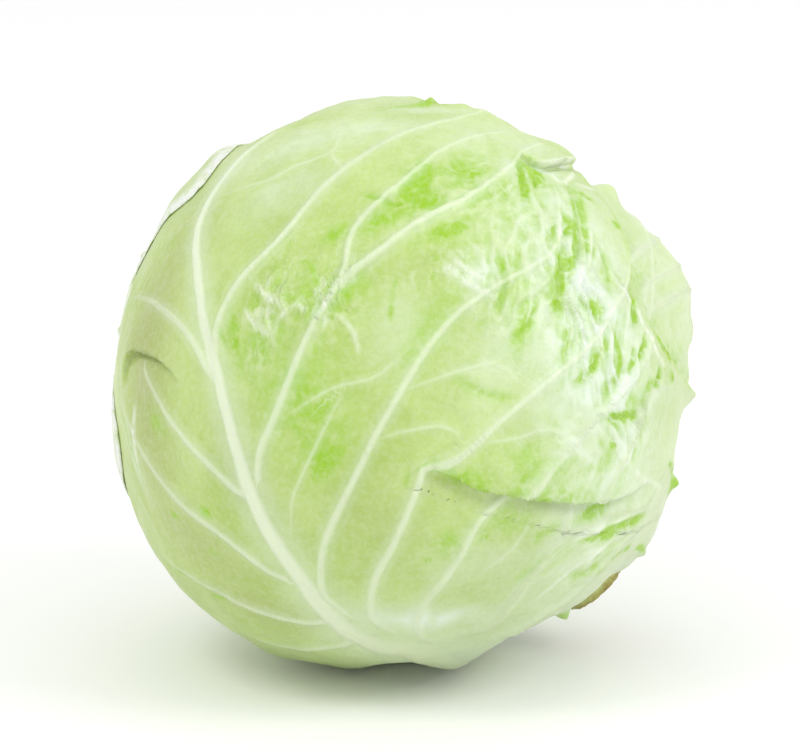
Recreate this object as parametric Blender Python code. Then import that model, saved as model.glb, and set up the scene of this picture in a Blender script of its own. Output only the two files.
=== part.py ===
"""A white cabbage head, lying on its side with the cut stalk low at the back right.

The head is a dense heart, the stub of the stalk, and four wrapper leaves that clasp the heart one over
another. Each leaf is a thin curved solid with a raised midrib, raised side veins and a waved margin.
The origin is the middle of the small flat spot that the head rests on. The front is -Y, and +Z is up.

Shapes are worked out on a ball in the front view's axes: right, up and towards the viewer. A direction
on the ball is given either by where it shows in the front view, as (mm right, mm up) of the middle,
or as polar(colatitude from the stalk, longitude from the front leaf's midrib) in degrees.
"""

import math

import bmesh
import bpy
import numpy as np
from mathutils import Matrix, Vector, geometry

MM = 0.001

# Driving dimensions
HEAD_RADIUS = 90 * MM
VIEW_DISTANCE = 1.6
VIEW_TILT = math.radians(14)
FLAT_SPOT_RADIUS = 15 * MM
LEAF_THICKNESS = 0.9 * MM
FRONT_LEVEL = 0 * MM
RIGHT_LEVEL = -3.2 * MM
BACK_LEVEL = -6.3 * MM
LEFT_LEVEL = -0.2 * MM
LEFT_LIFT = 2.2 * MM
HEART_LEVEL = -12.2 * MM
STALK_RADIUS = 13.5 * MM
STALK_END = 94 * MM
STALK_LENGTH = 12 * MM
MEAN_RELIEF = 1 * MM

# Leaf relief
MIDRIB_HALF_WIDTH = (12.5 * MM, 1.6 * MM)
MIDRIB_HEIGHT = (3.0 * MM, 0.9 * MM)
MIDRIB_TAPER = 3
VEIN_HALF_WIDTH = (2.3 * MM, 1.2 * MM)
VEIN_HEIGHT = (1.5 * MM, 0.6 * MM)
VEIN_SHOULDER = (8 * MM, 1.1 * MM)
MARGIN_WAVE = 1.8 * MM
MARGIN_WAVE_REACH = 11 * MM
CREASE_DEPTH = 1.6 * MM
CREASE_HALF_WIDTH = 2.6 * MM
CREASE_REACH = 10 * MM
FOLD_HEIGHT = 3 * MM
FOLD_REACH = 13 * MM
COVERED_RELIEF = 0.08

# Mesh spacing
PATH_STEP = 7.5 * MM
OUTLINE_STEP = 7 * MM
FILL_STEP = 11 * MM


def unit(vector):
    """The vector at length one."""
    vector = np.asarray(vector, float)
    return vector / np.linalg.norm(vector, axis=-1, keepdims=True)


def smoothstep(x):
    """0 below 0, 1 above 1, and an even S between."""
    x = np.clip(x, 0, 1)
    return x * x * (3 - 2 * x)


# The stalk's direction
STALK_AXIS = unit((0.67, -0.68, -0.31))

# The front view's axes in the world: right, up and towards the viewer
VIEW_TURN = np.array(
    [
        (1, 0, 0),
        (0, math.sin(VIEW_TILT), math.cos(VIEW_TILT)),
        (0, -math.cos(VIEW_TILT), math.sin(VIEW_TILT)),
    ]
)
DOWN = np.array([0, -math.cos(VIEW_TILT), -math.sin(VIEW_TILT)])


def polar(colatitude, longitude):
    """The direction at this colatitude from the stalk and longitude from the front midrib, in degrees."""
    col, lon = math.radians(colatitude), math.radians(longitude)
    across = math.cos(lon) * LON_0 + math.sin(lon) * LON_90
    return math.cos(col) * STALK_AXIS + math.sin(col) * across


def limb(clock, ahead=0):
    """The direction at the edge of the front view, this many degrees counter-clockwise from the right.

    It is moved towards the viewer by the degrees ahead, or away from the viewer if they are negative.
    """
    turn, lean = math.radians(clock), math.radians(ahead)
    return np.array([math.cos(turn) * math.cos(lean), math.sin(turn) * math.cos(lean), math.sin(lean)])


# Where the head stands out of a ball or falls short of it: direction, height in mm, spread in degrees
SWELLINGS = [
    (limb(359), 4.2, 6),
    (limb(20), 7.4, 13),
    (limb(43.5), 4.6, 3.5),
    (limb(52), -10.2, 6.5),
    (limb(70), -8.0, 5.5),
    (limb(70, -8), -4.5, 7),
    (limb(70, 8), -2.5, 6),
    (limb(92), -2.2, 5),
    (limb(116), -3.2, 11),
    (limb(127), 2.0, 5),
    (limb(151.5), -7.2, 6.5),
    (limb(170), -3.2, 9),
    (limb(186), -5.6, 5.4),
    (limb(208), 0.6, 8),
    (limb(228), 3.6, 24),
    (limb(245), 1.1, 5),
    (limb(271), -5.4, 6.5),
    (limb(271, 9), -2.5, 7),
    (limb(296.5), -9.4, 8),
    (limb(296, -10), -6.0, 8),
    (limb(297, 9), -4.4, 7.5),
    (limb(315, 3), -2.6, 5.5),
    (limb(320), 1.2, 4),
    (limb(327), 2.6, 8),
    (limb(340), 1.2, 5),
    (limb(350), -5.2, 9),
    (STALK_AXIS, -5.5, 15),
]


def head_radius(dirs):
    """The head's radius in each direction, before any leaf's own level and relief."""
    radius = np.full(len(dirs), HEAD_RADIUS)
    for towards, height_mm, spread in SWELLINGS:
        angle = np.degrees(np.arccos(np.clip(dirs @ towards, -1, 1)))
        radius += height_mm * MM * np.exp(-((angle / spread) ** 2))
    return radius


def seen(right_mm, up_mm, raised=MEAN_RELIEF):
    """The direction of the point of the raised head that shows there in the front view."""
    across = np.array([right_mm * MM, up_mm * MM, -VIEW_DISTANCE])
    a = across @ across
    half_b = -VIEW_DISTANCE * VIEW_DISTANCE
    radius = HEAD_RADIUS
    for _ in range(4):
        c = VIEW_DISTANCE**2 - (radius + raised) ** 2
        inside = max(0.0, half_b * half_b - a * c)
        reach = (-half_b - math.sqrt(inside)) / a
        towards = unit(np.array([0, 0, VIEW_DISTANCE]) + reach * across)
        radius = head_radius(towards[None])[0]
    return towards


# The axes of longitude 0 and 90 about the stalk
MIDRIB_POINT = unit((-0.556, -0.234, 0.798))
LON_0 = unit(MIDRIB_POINT - (MIDRIB_POINT @ STALK_AXIS) * STALK_AXIS)
LON_90 = np.cross(LON_0, STALK_AXIS)

REST_HEIGHT = float(head_radius(DOWN[None])[0]) - FLAT_SPOT_RADIUS**2 / (2 * HEAD_RADIUS)


def to_world(points):
    """Points in the front view's axes about the head's middle, as world points."""
    return points @ VIEW_TURN + np.array([0, 0, REST_HEIGHT])


def directions(points):
    """Directions of a list that mixes (mm right, mm up) pairs of the front view with directions."""
    return np.array([seen(*p) if len(p) == 2 else p for p in points])


def smooth_path(points, step, closed=False):
    """Directions along a smooth curve on the ball through the points, about one step apart."""
    knots = directions(points)
    count = len(knots)
    spans = count if closed else count - 1
    fine = []
    for i in range(spans):
        if closed:
            p = [knots[(i + k) % count] for k in (-1, 0, 1, 2)]
        else:
            p = [knots[min(max(i + k, 0), count - 1)] for k in (-1, 0, 1, 2)]
        for t in np.linspace(0, 1, 12, endpoint=False):
            bend = 2 * p[0] - 5 * p[1] + 4 * p[2] - p[3]
            turn = 3 * p[1] - p[0] - 3 * p[2] + p[3]
            fine.append(0.5 * (2 * p[1] + (p[2] - p[0]) * t + bend * t**2 + turn * t**3))
    fine.append(knots[0] if closed else knots[-1])
    fine = unit(np.array(fine))
    length = np.concatenate([[0], np.cumsum(np.linalg.norm(np.diff(fine, axis=0), axis=1))])
    steps = max(2, round(length[-1] * HEAD_RADIUS / step))
    places = np.linspace(0, length[-1], steps + 1)
    even = np.column_stack([np.interp(places, length, fine[:, k]) for k in range(3)])
    return unit(even[:-1] if closed else even)


def nearest(dirs, path):
    """Distance of each direction from the path on the head, and the share of the path's length there."""
    start, run = path[:-1], np.diff(path, axis=0)
    away = dirs[:, None, :] - start[None]
    share = np.clip((away * run).sum(2) / (run**2).sum(1), 0, 1)
    gap = np.linalg.norm(away - share[..., None] * run, axis=2)
    best = gap.argmin(1)
    rows = np.arange(len(dirs))
    return HEAD_RADIUS * gap[rows, best], (best + share[rows, best]) / len(run)


def taper(ends, share, power=1.0):
    """A value that falls from the first of the two ends to the second, faster at first for a high power."""
    return ends[1] + (ends[0] - ends[1]) * np.clip(1 - share, 0, 1) ** power


class LeafMap:
    """A flat map of the ball round one leaf's middle, true to distance from that middle."""

    def __init__(self, middle, tip):
        self.middle = unit(middle)
        self.up = unit(tip - (tip @ self.middle) * self.middle)
        self.right = np.cross(self.up, self.middle)

    def flatten(self, dirs):
        """Map points of these directions, in metres."""
        angle = np.arccos(np.clip(dirs @ self.middle, -1, 1))
        across = np.column_stack([dirs @ self.right, dirs @ self.up])
        length = np.maximum(np.linalg.norm(across, axis=1), 1e-12)
        return HEAD_RADIUS * across * (angle / length)[:, None]

    def raise_up(self, points):
        """Directions of these map points."""
        angle = np.maximum(np.linalg.norm(points, axis=1), 1e-12) / HEAD_RADIUS
        across = points / (angle * HEAD_RADIUS)[:, None]
        sideways = across[:, :1] * self.right + across[:, 1:] * self.up
        return np.cos(angle)[:, None] * self.middle + np.sin(angle)[:, None] * sideways


def inside(points, ring):
    """Which of the points lie inside the closed ring, by counting crossings."""
    x, y = points[:, :1], points[:, 1:]
    ax, ay = ring[:, 0], ring[:, 1]
    bx, by = np.roll(ax, -1), np.roll(ay, -1)
    straddles = (ay > y) != (by > y)
    crossing = ax + (y - ay) * (bx - ax) / np.where(by == ay, 1e-12, by - ay)
    return (straddles & (x < crossing)).sum(1) % 2 == 1


class Leaf:
    """One wrapper leaf: its outline, its midrib, its side veins, and the level that it lies at."""

    def __init__(self, name, middle, level, outline, midrib, veins, seed, waviness, folds=(), creases=()):
        self.name = name
        self.level = level
        self.waviness = waviness
        self.map = LeafMap(middle, -STALK_AXIS)
        self.edge = smooth_path(outline, OUTLINE_STEP, closed=True)
        self.ring = self.map.flatten(self.edge)
        self.midrib = smooth_path(midrib, PATH_STEP)
        self.veins = [smooth_path(vein, PATH_STEP) for vein in veins]
        self.folds = [smooth_path(fold, PATH_STEP) for fold in folds]
        self.creases = [smooth_path(crease, PATH_STEP) for crease in creases]
        self.covers = []
        self.lifted_over = None
        self.phase = seed * 1.7

    def depth(self, dirs):
        """Distance of each direction inside this leaf's margin, negative outside it."""
        closed = np.vstack([self.edge, self.edge[:1]])
        away, _ = nearest(dirs, closed)
        return np.where(inside(self.map.flatten(dirs), self.ring), away, -away)

    def base(self, dirs):
        """The outer face's radius before relief."""
        radius = head_radius(dirs) + self.level
        if self.lifted_over is not None:
            over = smoothstep((self.lifted_over.depth(dirs) + 16 * MM) / (12 * MM))
            radius += LEFT_LIFT * over
        return radius

    def bare(self, dirs):
        """1 where no other leaf covers this one, falling to COVERED_RELIEF under a cover."""
        shown = np.ones(len(dirs))
        for cover in self.covers:
            shown *= smoothstep((-cover.depth(dirs) - 3 * MM) / (14 * MM))
        return COVERED_RELIEF + (1 - COVERED_RELIEF) * shown

    def relief(self, dirs):
        """Heights of the outer face over its base: midrib, veins, folds and waved margin."""
        ribs = self.vein_height(dirs)
        away, share = nearest(dirs, self.midrib)
        width = taper(MIDRIB_HALF_WIDTH, share, MIDRIB_TAPER)
        height = taper(MIDRIB_HEIGHT, share, MIDRIB_TAPER) * smoothstep(2.8 * share + 0.05)
        keel = height * np.sqrt(np.clip(1 - (away / width) ** 2, 0, 1))
        depth = np.abs(self.depth(dirs))
        ripple = 0.5 + 0.5 * np.sin(self.edge_angle(dirs) * 11 + self.phase)
        slow = 0.5 + 0.5 * np.sin(self.edge_angle(dirs) * 5 + 2.2 * self.phase)
        wave = self.waviness * MARGIN_WAVE * ripple * slow * np.exp(-((depth / MARGIN_WAVE_REACH) ** 2))
        rested = smoothstep(np.degrees(np.arccos(np.clip(dirs @ DOWN, -1, 1))) / 14 - 0.6)
        swelling = wave + self.fold_height(dirs) + self.crease_height(dirs)
        return self.bare(dirs) * rested * (np.maximum(ribs, keel) + swelling)

    def vein_height(self, dirs):
        """Heights of the side veins, each a narrow ridge on a broad low shoulder."""
        total = np.zeros(len(dirs))
        for vein in self.veins:
            away, share = nearest(dirs, vein)
            ridge = taper(VEIN_HEIGHT, share) * np.exp(-((away / taper(VEIN_HALF_WIDTH, share)) ** 2))
            shoulder = VEIN_SHOULDER[1] * np.exp(-away / VEIN_SHOULDER[0])
            total = np.maximum(total, (ridge + shoulder) * smoothstep(share * 8 + 0.3))
        return total

    def fold_height(self, dirs):
        """Heights of the folds: the lamina swells up to the fold's line and drops beyond it."""
        total = np.zeros(len(dirs))
        for fold in self.folds:
            away, share = nearest(dirs, fold)
            spot = (share * (len(fold) - 1)).astype(int)
            run = np.diff(fold, axis=0)[np.minimum(spot, len(fold) - 2)]
            side = (np.cross(fold[np.minimum(spot, len(fold) - 2)], run) * dirs).sum(1) * HEAD_RADIUS
            ends = np.sin(np.pi * np.clip(share, 0, 1)) ** 0.7
            above = np.exp(-((away / FOLD_REACH) ** 2)) * (side > -0.4 * MM)
            total += FOLD_HEIGHT * ends * above
        return total

    def crease_height(self, dirs):
        """Heights round the creases: the lamina puffs up beside each crease and dips along its line."""
        puffed = np.zeros(len(dirs))
        dip = np.zeros(len(dirs))
        for crease in self.creases:
            away, share = nearest(dirs, crease)
            ends = np.sin(np.pi * np.clip(share, 0.04, 0.96)) ** 0.5
            puffed = np.maximum(puffed, ends * np.exp(-((away / CREASE_REACH) ** 2)))
            dip = np.maximum(dip, ends * np.exp(-((away / CREASE_HALF_WIDTH) ** 2)))
        return CREASE_DEPTH * (puffed - dip)

    def edge_angle(self, dirs):
        """Angle round the leaf's middle on its map."""
        flat = self.map.flatten(dirs)
        return np.arctan2(flat[:, 1], flat[:, 0])

    def thickness(self, dirs):
        """The leaf's thickness, which the midrib adds to on the outer face only."""
        away, share = nearest(dirs, self.midrib)
        rib = smoothstep(1.2 - away / taper(MIDRIB_HALF_WIDTH, share, MIDRIB_TAPER))
        return LEAF_THICKNESS + 0.8 * self.relief(dirs) * rib


def offset_path(path, sideways):
    """The path moved to its left on the ball by this distance."""
    ahead = np.gradient(path, axis=0)
    return unit(path + sideways / HEAD_RADIUS * unit(np.cross(path, ahead)))


def guide_lines(leaf):
    """Lines that the leaf's mesh follows: its ribs, veins and folds, each with a rail on both sides."""
    lines = []
    share = np.linspace(0, 1, len(leaf.midrib))[:, None]
    for part in (0, -0.55, 0.55, -1, 1):
        lines.append(offset_path(leaf.midrib, part * 0.98 * taper(MIDRIB_HALF_WIDTH, share, MIDRIB_TAPER)))
    for vein in leaf.veins:
        share = np.linspace(0, 1, len(vein))[:, None]
        for part in (0, -1, 1):
            lines.append(offset_path(vein, part * 1.5 * taper(VEIN_HALF_WIDTH, share)))
    for fold in leaf.folds:
        lines.append(fold)
        lines.append(offset_path(fold, -1.2 * MM))
    for crease in leaf.creases:
        for part in (0, -1, 1):
            lines.append(offset_path(crease, part * 1.5 * CREASE_HALF_WIDTH))
    return lines


def leaf_points(leaf):
    """Map points of the leaf's mesh and the edges that join them along the outline and guide lines."""
    ring = leaf.ring
    points = list(ring)
    edges = [(i, (i + 1) % len(ring)) for i in range(len(ring))]
    for line in guide_lines(leaf):
        flat = leaf.map.flatten(line)
        depth = leaf.depth(line)
        last = None
        for point, inner in zip(flat, depth):
            if inner < 2.5 * MM:
                last = None
                continue
            points.append(point)
            if last is not None:
                edges.append((last, len(points) - 1))
            last = len(points) - 1
    placed = np.array(points)
    reach = np.abs(ring).max() + FILL_STEP
    rows = np.arange(-reach, reach, FILL_STEP * math.sqrt(3) / 2)
    for row, y in enumerate(rows):
        x = np.arange(-reach, reach, FILL_STEP) + (row % 2) * FILL_STEP / 2
        spots = np.column_stack([x, np.full(len(x), y)])
        spots = spots[inside(spots, ring)]
        for spot in spots:
            if np.linalg.norm(placed - spot, axis=1).min() > 0.55 * FILL_STEP:
                points.append(spot)
    return points, edges, list(range(len(ring)))


def leaf_mesh(leaf):
    """The leaf as a closed thin mesh, split into the same triangles on its outer and inner faces."""
    points, edges, ring = leaf_points(leaf)
    scaled = [Vector(p / MM) for p in points]
    verts, _, faces, *_ = geometry.delaunay_2d_cdt(scaled, edges, [ring], 1, 1e-4)
    flat = np.array([tuple(v) for v in verts]) * MM
    dirs = leaf.map.raise_up(flat)
    outer_radius = leaf.base(dirs) + leaf.relief(dirs)
    outer = to_world(dirs * outer_radius[:, None])
    inner = to_world(dirs * (outer_radius - leaf.thickness(dirs))[:, None])
    outer[:, 2] = np.maximum(outer[:, 2], 0)
    inner[:, 2] = np.maximum(inner[:, 2], LEAF_THICKNESS * 0.7)

    mesh = bmesh.new()
    top = [mesh.verts.new(p) for p in outer]
    under = [mesh.verts.new(p) for p in inner]
    for face in faces:
        mesh.faces.new([top[i] for i in face])
        mesh.faces.new([under[i] for i in reversed(face)])
    open_edges = [e for e in mesh.edges if len(e.link_faces) == 1]
    index = {v: i for i, v in enumerate(top)}
    for edge in open_edges:
        if edge.verts[0] in index:
            a, b = (index[v] for v in edge.verts)
            loop = next(iter(edge.link_loops))
            if index[loop.vert] != a:
                a, b = b, a
            mesh.faces.new([top[b], top[a], under[a]])
            mesh.faces.new([top[b], under[a], under[b]])
    bmesh.ops.recalc_face_normals(mesh, faces=mesh.faces)
    return mesh


def material(name, colour, roughness):
    """A plain material of this colour and roughness."""
    made = bpy.data.materials.new(name)
    made.use_nodes = True
    shader = made.node_tree.nodes["Principled BSDF"]
    shader.inputs["Base Color"].default_value = (*colour, 1)
    shader.inputs["Roughness"].default_value = roughness
    shader.inputs["Metallic"].default_value = 0
    return made


def finish_mesh(mesh, name, finish):
    """The bmesh as a smooth-shaded object of this name and material."""
    data = bpy.data.meshes.new(name)
    mesh.to_mesh(data)
    mesh.free()
    data.shade_smooth()
    data.set_sharp_from_angle(angle=math.radians(50))
    data.materials.append(finish)
    made = bpy.data.objects.new(name, data)
    bpy.context.scene.collection.objects.link(made)
    return made


def side_veins(midrib_longitude, starts, reach, rise, start_gap=2):
    """Side veins of a leaf on both sides: from the midrib at each colatitude, out by the reach in
    longitude, and towards the tip by the rise, each given in degrees."""
    veins = []
    for number, start in enumerate(starts):
        for side in (-1, 1):
            lead = 6 * (side > 0)
            spans = [start_gap, 0.25 * reach, 0.55 * reach, 0.8 * reach, reach]
            shares = [0, 0.42, 0.72, 0.9, 1]
            veins.append(
                [
                    polar(start + lead + rise * up * (1 + 0.1 * number), midrib_longitude + side * out)
                    for out, up in zip(spans, shares)
                ]
            )
    return veins


FRONT_MIDDLE = np.array([-0.22, -0.22, 0.95])

FRONT_OUTLINE = [
    polar(10.6, -15), polar(10.6, 20), polar(13, 50), polar(20, 72), polar(29, 86), limb(337, -5),
    limb(344, -4), limb(351, -3), limb(357, -1), (86, 4.5), (81.5, 13), (74, 24), (71.5, 30), (68.5, 50),
    (60, 62), (55, 69),
    (44, 76.5), (29.5, 83.2), (18, 86.8), (8, 88.6), polar(129.6, 168), polar(139, -179), polar(146.5, -157),
    polar(151, -130), polar(146, -104), polar(136, -88), polar(123, -80), polar(105, -78),
    polar(85, -78), polar(65, -79), polar(45, -81), polar(28, -84), polar(16, -72), polar(11.6, -45),
]

FRONT_MIDRIB = [
    polar(11.5, -44), limb(303, -18), limb(292, -13), limb(283, -6), (6, -85), (-5, -83.3), (-14.5, -79),
    (-23, -72), (-31, -61.5), (-38.5, -51), (-45, -39.5), (-51.5, -21), (-57.5, 4), (-62.5, 26),
    (-64, 38.5), (-63.5, 49.5), (-60, 58), (-52, 69), (-40, 78.5), (-28, 83),
]

FRONT_VEINS = [
    # Right of the midrib, from the tip to the base
    [(-58, 8), (-57, 17), (-52, 29), (-35.5, 47.5), (-22, 63), (0, 77.5), (15.5, 82), (25.5, 84)],
    [(-45, -30), (-43.5, -21), (-38, -7.5), (-27.5, 17.5), (-18, 33.5), (-16.5, 42), (-13, 50.5), (-1.5, 61),
     (15, 74), (32, 78.5)],
    [(-19, 32), (-7, 41), (5, 50), (20.5, 58), (36, 69.5)],
    [(-17.5, -72), (-23, -66.5), (-24.5, -61.5), (-23, -48.5), (-12, -25), (-4.5, -10.5), (10, 13), (23.5, 26.5),
     (47, 40)],
    [(-2, -78), (-7, -75), (-9, -71), (-8, -61.5), (-1.5, -49), (5.5, -32.5), (10.5, -26), (19.5, -20), (33, -10),
     (47, 1.5), (58.5, 11.5), (65.5, 22.5)],
    [(8.5, -81), (5.5, -77), (6.5, -70), (18, -55), (25, -42.5), (35.5, -34), (52, -22.5), (60.5, -11), (74.5, 4)],
    [(18, -79), (27.5, -76), (36, -67), (47, -52), (55, -46), (65, -41), (76.5, -37.5)],
    [(44, -73), (56, -65), (67, -52.5), (77.5, -42)],
    # Left of the midrib, from the tip to the base
    [(-58.5, 2), (-65, 15), (-76, 25), (-82, 27)],
    [(-48, -35.5), (-61, -23.5), (-72, -10.5), (-79.5, 5)],
    [(-36.5, -61.5), (-54.5, -48), (-70.5, -35), (-82.5, -17), (-86.5, -6.5)],
    [(-24, -75), (-44, -71), (-61, -62.5), (-70.5, -56.5)],
    [(-15, -81), (-34.5, -82.5), (-44, -80)],
]

FRONT_FOLDS = [
    [(1.5, -33), (9.5, -25), (19, -28.5), (39, -31.5), (54, -34), (71, -32.5), (77, -30)],
]

# Creases that run down from the small turned-over flap at the upper right, and those of the left edge
FRONT_CREASES = [
    [(53, 66), (55, 56), (55.5, 46), (55, 36)],
    [(46.5, 54), (49, 44), (48, 33), (49, 22)],
    [(64, 53), (68, 42), (72, 30), (75, 17), (80, 11)],
    [(37, 67), (39.5, 57), (39, 46)],
    [(-87, 3), (-84, 8), (-78, 8.5), (-71, 2), (-65, -4)],
]

LEFT_OUTLINE = [
    polar(11, -100), polar(11, -150), polar(14, 175), polar(22, 158), polar(38, 153), polar(60, 154),
    polar(85, 156), polar(110, 158), polar(126.7, 160), polar(135.2, 167), polar(142.2, 177),
    limb(118, -8), limb(123.5), limb(127, 8), limb(131, 15), limb(136, 19), limb(140, 17), limb(145, 12),
    limb(149, 9.5), limb(153, 10.5), limb(156.5, 9.5), limb(159.5, 5), limb(162.5), limb(168, -3), limb(174, -1),
    limb(178, 4), limb(182, 8.5), limb(187, 12), limb(193, 12), limb(197, 8), limb(200, 3), limb(203, -3),
    limb(207, -9), limb(215, -15), limb(225, -20), polar(74, -73), polar(54, -76), polar(36, -83), polar(22, -88),
    polar(14, -90),
]

RIGHT_VEINS = [
    [seen(72.5, 39, RIGHT_LEVEL), seen(77, 42.5, RIGHT_LEVEL), limb(29.5)],
    [seen(77, 20, RIGHT_LEVEL), seen(84, 25.5, RIGHT_LEVEL), limb(18)],
    [seen(76, 26, RIGHT_LEVEL), seen(82, 33, RIGHT_LEVEL), limb(23)],
]

RIGHT_OUTLINE = [
    polar(11, 25), polar(11, 70), polar(14, 105), polar(22, 122), polar(45, 128), polar(70, 131),
    polar(95, 134), polar(113, 136), polar(128, 120), polar(133, 90), polar(128, 60), polar(116, 34),
    polar(95, 16), polar(70, 9), polar(45, 8), polar(24, 6), polar(14, 4),
]

BACK_OUTLINE = [
    polar(11, 150), polar(11, -160), polar(14, -125), polar(22, -110), polar(45, -104), polar(70, -102),
    polar(95, -104), polar(118, -112), polar(140, -130), polar(156, -160), polar(163, 165),
    polar(155, 130), polar(138, 114), polar(118, 108), polar(95, 102), polar(70, 99), polar(45, 100),
    polar(24, 106), polar(14, 122),
]


def midrib_of(longitude, tip):
    """A midrib that leaves the stalk at this longitude and runs straight to the tip's colatitude."""
    return [polar(col, longitude) for col in np.linspace(11.5, tip, 7)]


def wrapper_leaves():
    """The four wrapper leaves, each told which others lie over it."""
    front = Leaf(
        "leaf_front", FRONT_MIDDLE, FRONT_LEVEL, FRONT_OUTLINE, FRONT_MIDRIB, FRONT_VEINS, 1, 0.5,
        FRONT_FOLDS, FRONT_CREASES,
    )
    left = Leaf(
        "leaf_left", polar(92, -137), LEFT_LEVEL, LEFT_OUTLINE, midrib_of(-132, 150),
        side_veins(-132, (34, 52, 70, 88, 106, 122), 62, 20), 2, 0.25,
    )
    right = Leaf(
        "leaf_right", polar(72, 70), RIGHT_LEVEL, RIGHT_OUTLINE, midrib_of(72, 126),
        RIGHT_VEINS + side_veins(72, (36, 56, 76, 94), 56, 18), 3, 1.0,
    )
    back = Leaf(
        "leaf_back", polar(78, 178), BACK_LEVEL, BACK_OUTLINE, midrib_of(172, 150),
        side_veins(172, (36, 56, 76, 94), 62, 18), 4, 1.0,
    )
    front.covers = [left]
    left.lifted_over = front
    right.covers = [front, left]
    back.covers = [left, right]
    return [front, left, right, back]


def heart_mesh():
    """The heart: a ball whose face shows the margins of the leaves folded over it."""
    mesh = bmesh.new()
    bmesh.ops.create_icosphere(mesh, subdivisions=4, radius=1)
    dirs = unit(np.array([tuple(v.co) for v in mesh.verts]))
    turn = np.arctan2(dirs @ LON_90, dirs @ LON_0)
    col = np.arccos(np.clip(dirs @ STALK_AXIS, -1, 1))
    lap = ((turn / (2 * math.pi) * 3 + col / math.pi * 0.8) % 1.0) * smoothstep(col * 2)
    radius = head_radius(dirs) + HEART_LEVEL + 0.7 * MM * lap
    places = to_world(dirs * radius[:, None])
    for vert, place in zip(mesh.verts, places):
        vert.co = place
    return mesh


def stalk_mesh():
    """The stub of the stalk: a short tapered column with a cut face that is worn round at its rim."""
    rings = [
        (0, 0.96), (0.55, 1.0), (0.86, 0.97), (0.97, 0.9), (1.0, 0.8),
    ]
    mesh = bmesh.new()
    profile = [mesh.verts.new((0, 0, 0))]
    for height, width in rings:
        profile.append(mesh.verts.new((width * STALK_RADIUS, 0, height * STALK_LENGTH)))
    profile.append(mesh.verts.new((0, 0, STALK_LENGTH * 0.97)))
    edges = [mesh.edges.new(pair) for pair in zip(profile[:-1], profile[1:])]
    bmesh.ops.spin(
        mesh, geom=profile + edges, axis=(0, 0, 1), cent=(0, 0, 0), angle=2 * math.pi, steps=28, use_merge=True
    )
    bmesh.ops.remove_doubles(mesh, verts=mesh.verts, dist=1e-6)
    bmesh.ops.recalc_face_normals(mesh, faces=mesh.faces)
    axis = Vector(STALK_AXIS @ VIEW_TURN)
    turn = Vector((0, 0, 1)).rotation_difference(axis).to_matrix().to_4x4()
    foot = Vector(to_world((STALK_AXIS * (STALK_END - STALK_LENGTH))[None])[0])
    bmesh.ops.transform(mesh, matrix=Matrix.Translation(foot) @ turn, verts=mesh.verts)
    return mesh


def clear_scene():
    """Removes whatever the scene holds."""
    for old in list(bpy.data.objects):
        bpy.data.objects.remove(old)


def main():
    """Builds the heart, the stalk and the four wrapper leaves."""
    clear_scene()
    outer_green = material("outer_leaf", (0.50, 0.62, 0.24), 0.42)
    inner_green = material("inner_leaf", (0.66, 0.76, 0.42), 0.42)
    heart_pale = material("heart", (0.72, 0.78, 0.50), 0.45)
    cut_stalk = material("stalk", (0.52, 0.47, 0.20), 0.7)
    finishes = {"leaf_right": inner_green, "leaf_back": inner_green}
    for leaf in wrapper_leaves():
        finish_mesh(leaf_mesh(leaf), leaf.name, finishes.get(leaf.name, outer_green))
    finish_mesh(heart_mesh(), "heart", heart_pale)
    finish_mesh(stalk_mesh(), "stalk", cut_stalk)


main()
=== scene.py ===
"""The looks of a white cabbage head: its wrapper leaves with their ribs, folds and waved margins, the
heart that shows between them, the cut stalk, their finishes, and a plain studio round them.

Every surface is worked out on a ball in the front view's axes: right, up and towards the viewer. A
direction is given by where it shows in the front view, in millimetres right and up of the middle, or
as polar(colatitude from the stalk, longitude from the front leaf's midrib) in degrees.
"""

import logging
import math
from dataclasses import dataclass, field
from enum import Enum

import bpy
import numpy as np
from mathutils import Matrix, Vector, noise


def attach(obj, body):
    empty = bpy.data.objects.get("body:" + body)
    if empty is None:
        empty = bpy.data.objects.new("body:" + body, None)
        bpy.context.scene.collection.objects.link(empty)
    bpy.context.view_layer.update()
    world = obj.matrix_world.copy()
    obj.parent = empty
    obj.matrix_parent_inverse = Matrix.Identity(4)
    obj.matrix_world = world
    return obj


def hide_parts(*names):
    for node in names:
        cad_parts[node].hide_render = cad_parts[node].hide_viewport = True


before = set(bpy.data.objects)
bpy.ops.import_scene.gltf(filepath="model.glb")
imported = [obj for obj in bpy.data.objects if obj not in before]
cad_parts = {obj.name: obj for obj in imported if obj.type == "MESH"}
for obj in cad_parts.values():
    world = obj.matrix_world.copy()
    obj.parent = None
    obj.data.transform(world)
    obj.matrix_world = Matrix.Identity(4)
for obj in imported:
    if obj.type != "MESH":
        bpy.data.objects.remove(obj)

LOG = logging.getLogger("cabbage")
MM = 0.001
Point = tuple[float, ...]
Array = np.ndarray


def unit(vector: Array) -> Array:
    """The vector, or each row of vectors, at length one."""
    vector = np.asarray(vector, float)
    return vector / np.linalg.norm(vector, axis=-1, keepdims=True)


def smoothstep(x: Array) -> Array:
    """0 below 0, 1 above 1, and an even S between."""
    x = np.clip(x, 0, 1)
    return x * x * (3 - 2 * x)


def bell(distance: Array, width: float) -> Array:
    """A bell curve of this half-width over the distance."""
    return np.exp(-((distance / width) ** 2))


def taper(ends: tuple[float, float], share: Array, power: float = 1.0) -> Array:
    """A value that falls from the first of the two ends to the second, faster at first for a high power."""
    return ends[1] + (ends[0] - ends[1]) * np.clip(1 - share, 0, 1) ** power


def limb(clock: float, ahead: float = 0.0) -> Array:
    """The direction at the edge of the front view, this many degrees counter-clockwise from the right.

    It is moved towards the viewer by the degrees ahead, or away from the viewer if they are negative.
    """
    turn, lean = math.radians(clock), math.radians(ahead)
    return np.array([math.cos(turn) * math.cos(lean), math.sin(turn) * math.cos(lean), math.sin(lean)])


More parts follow.
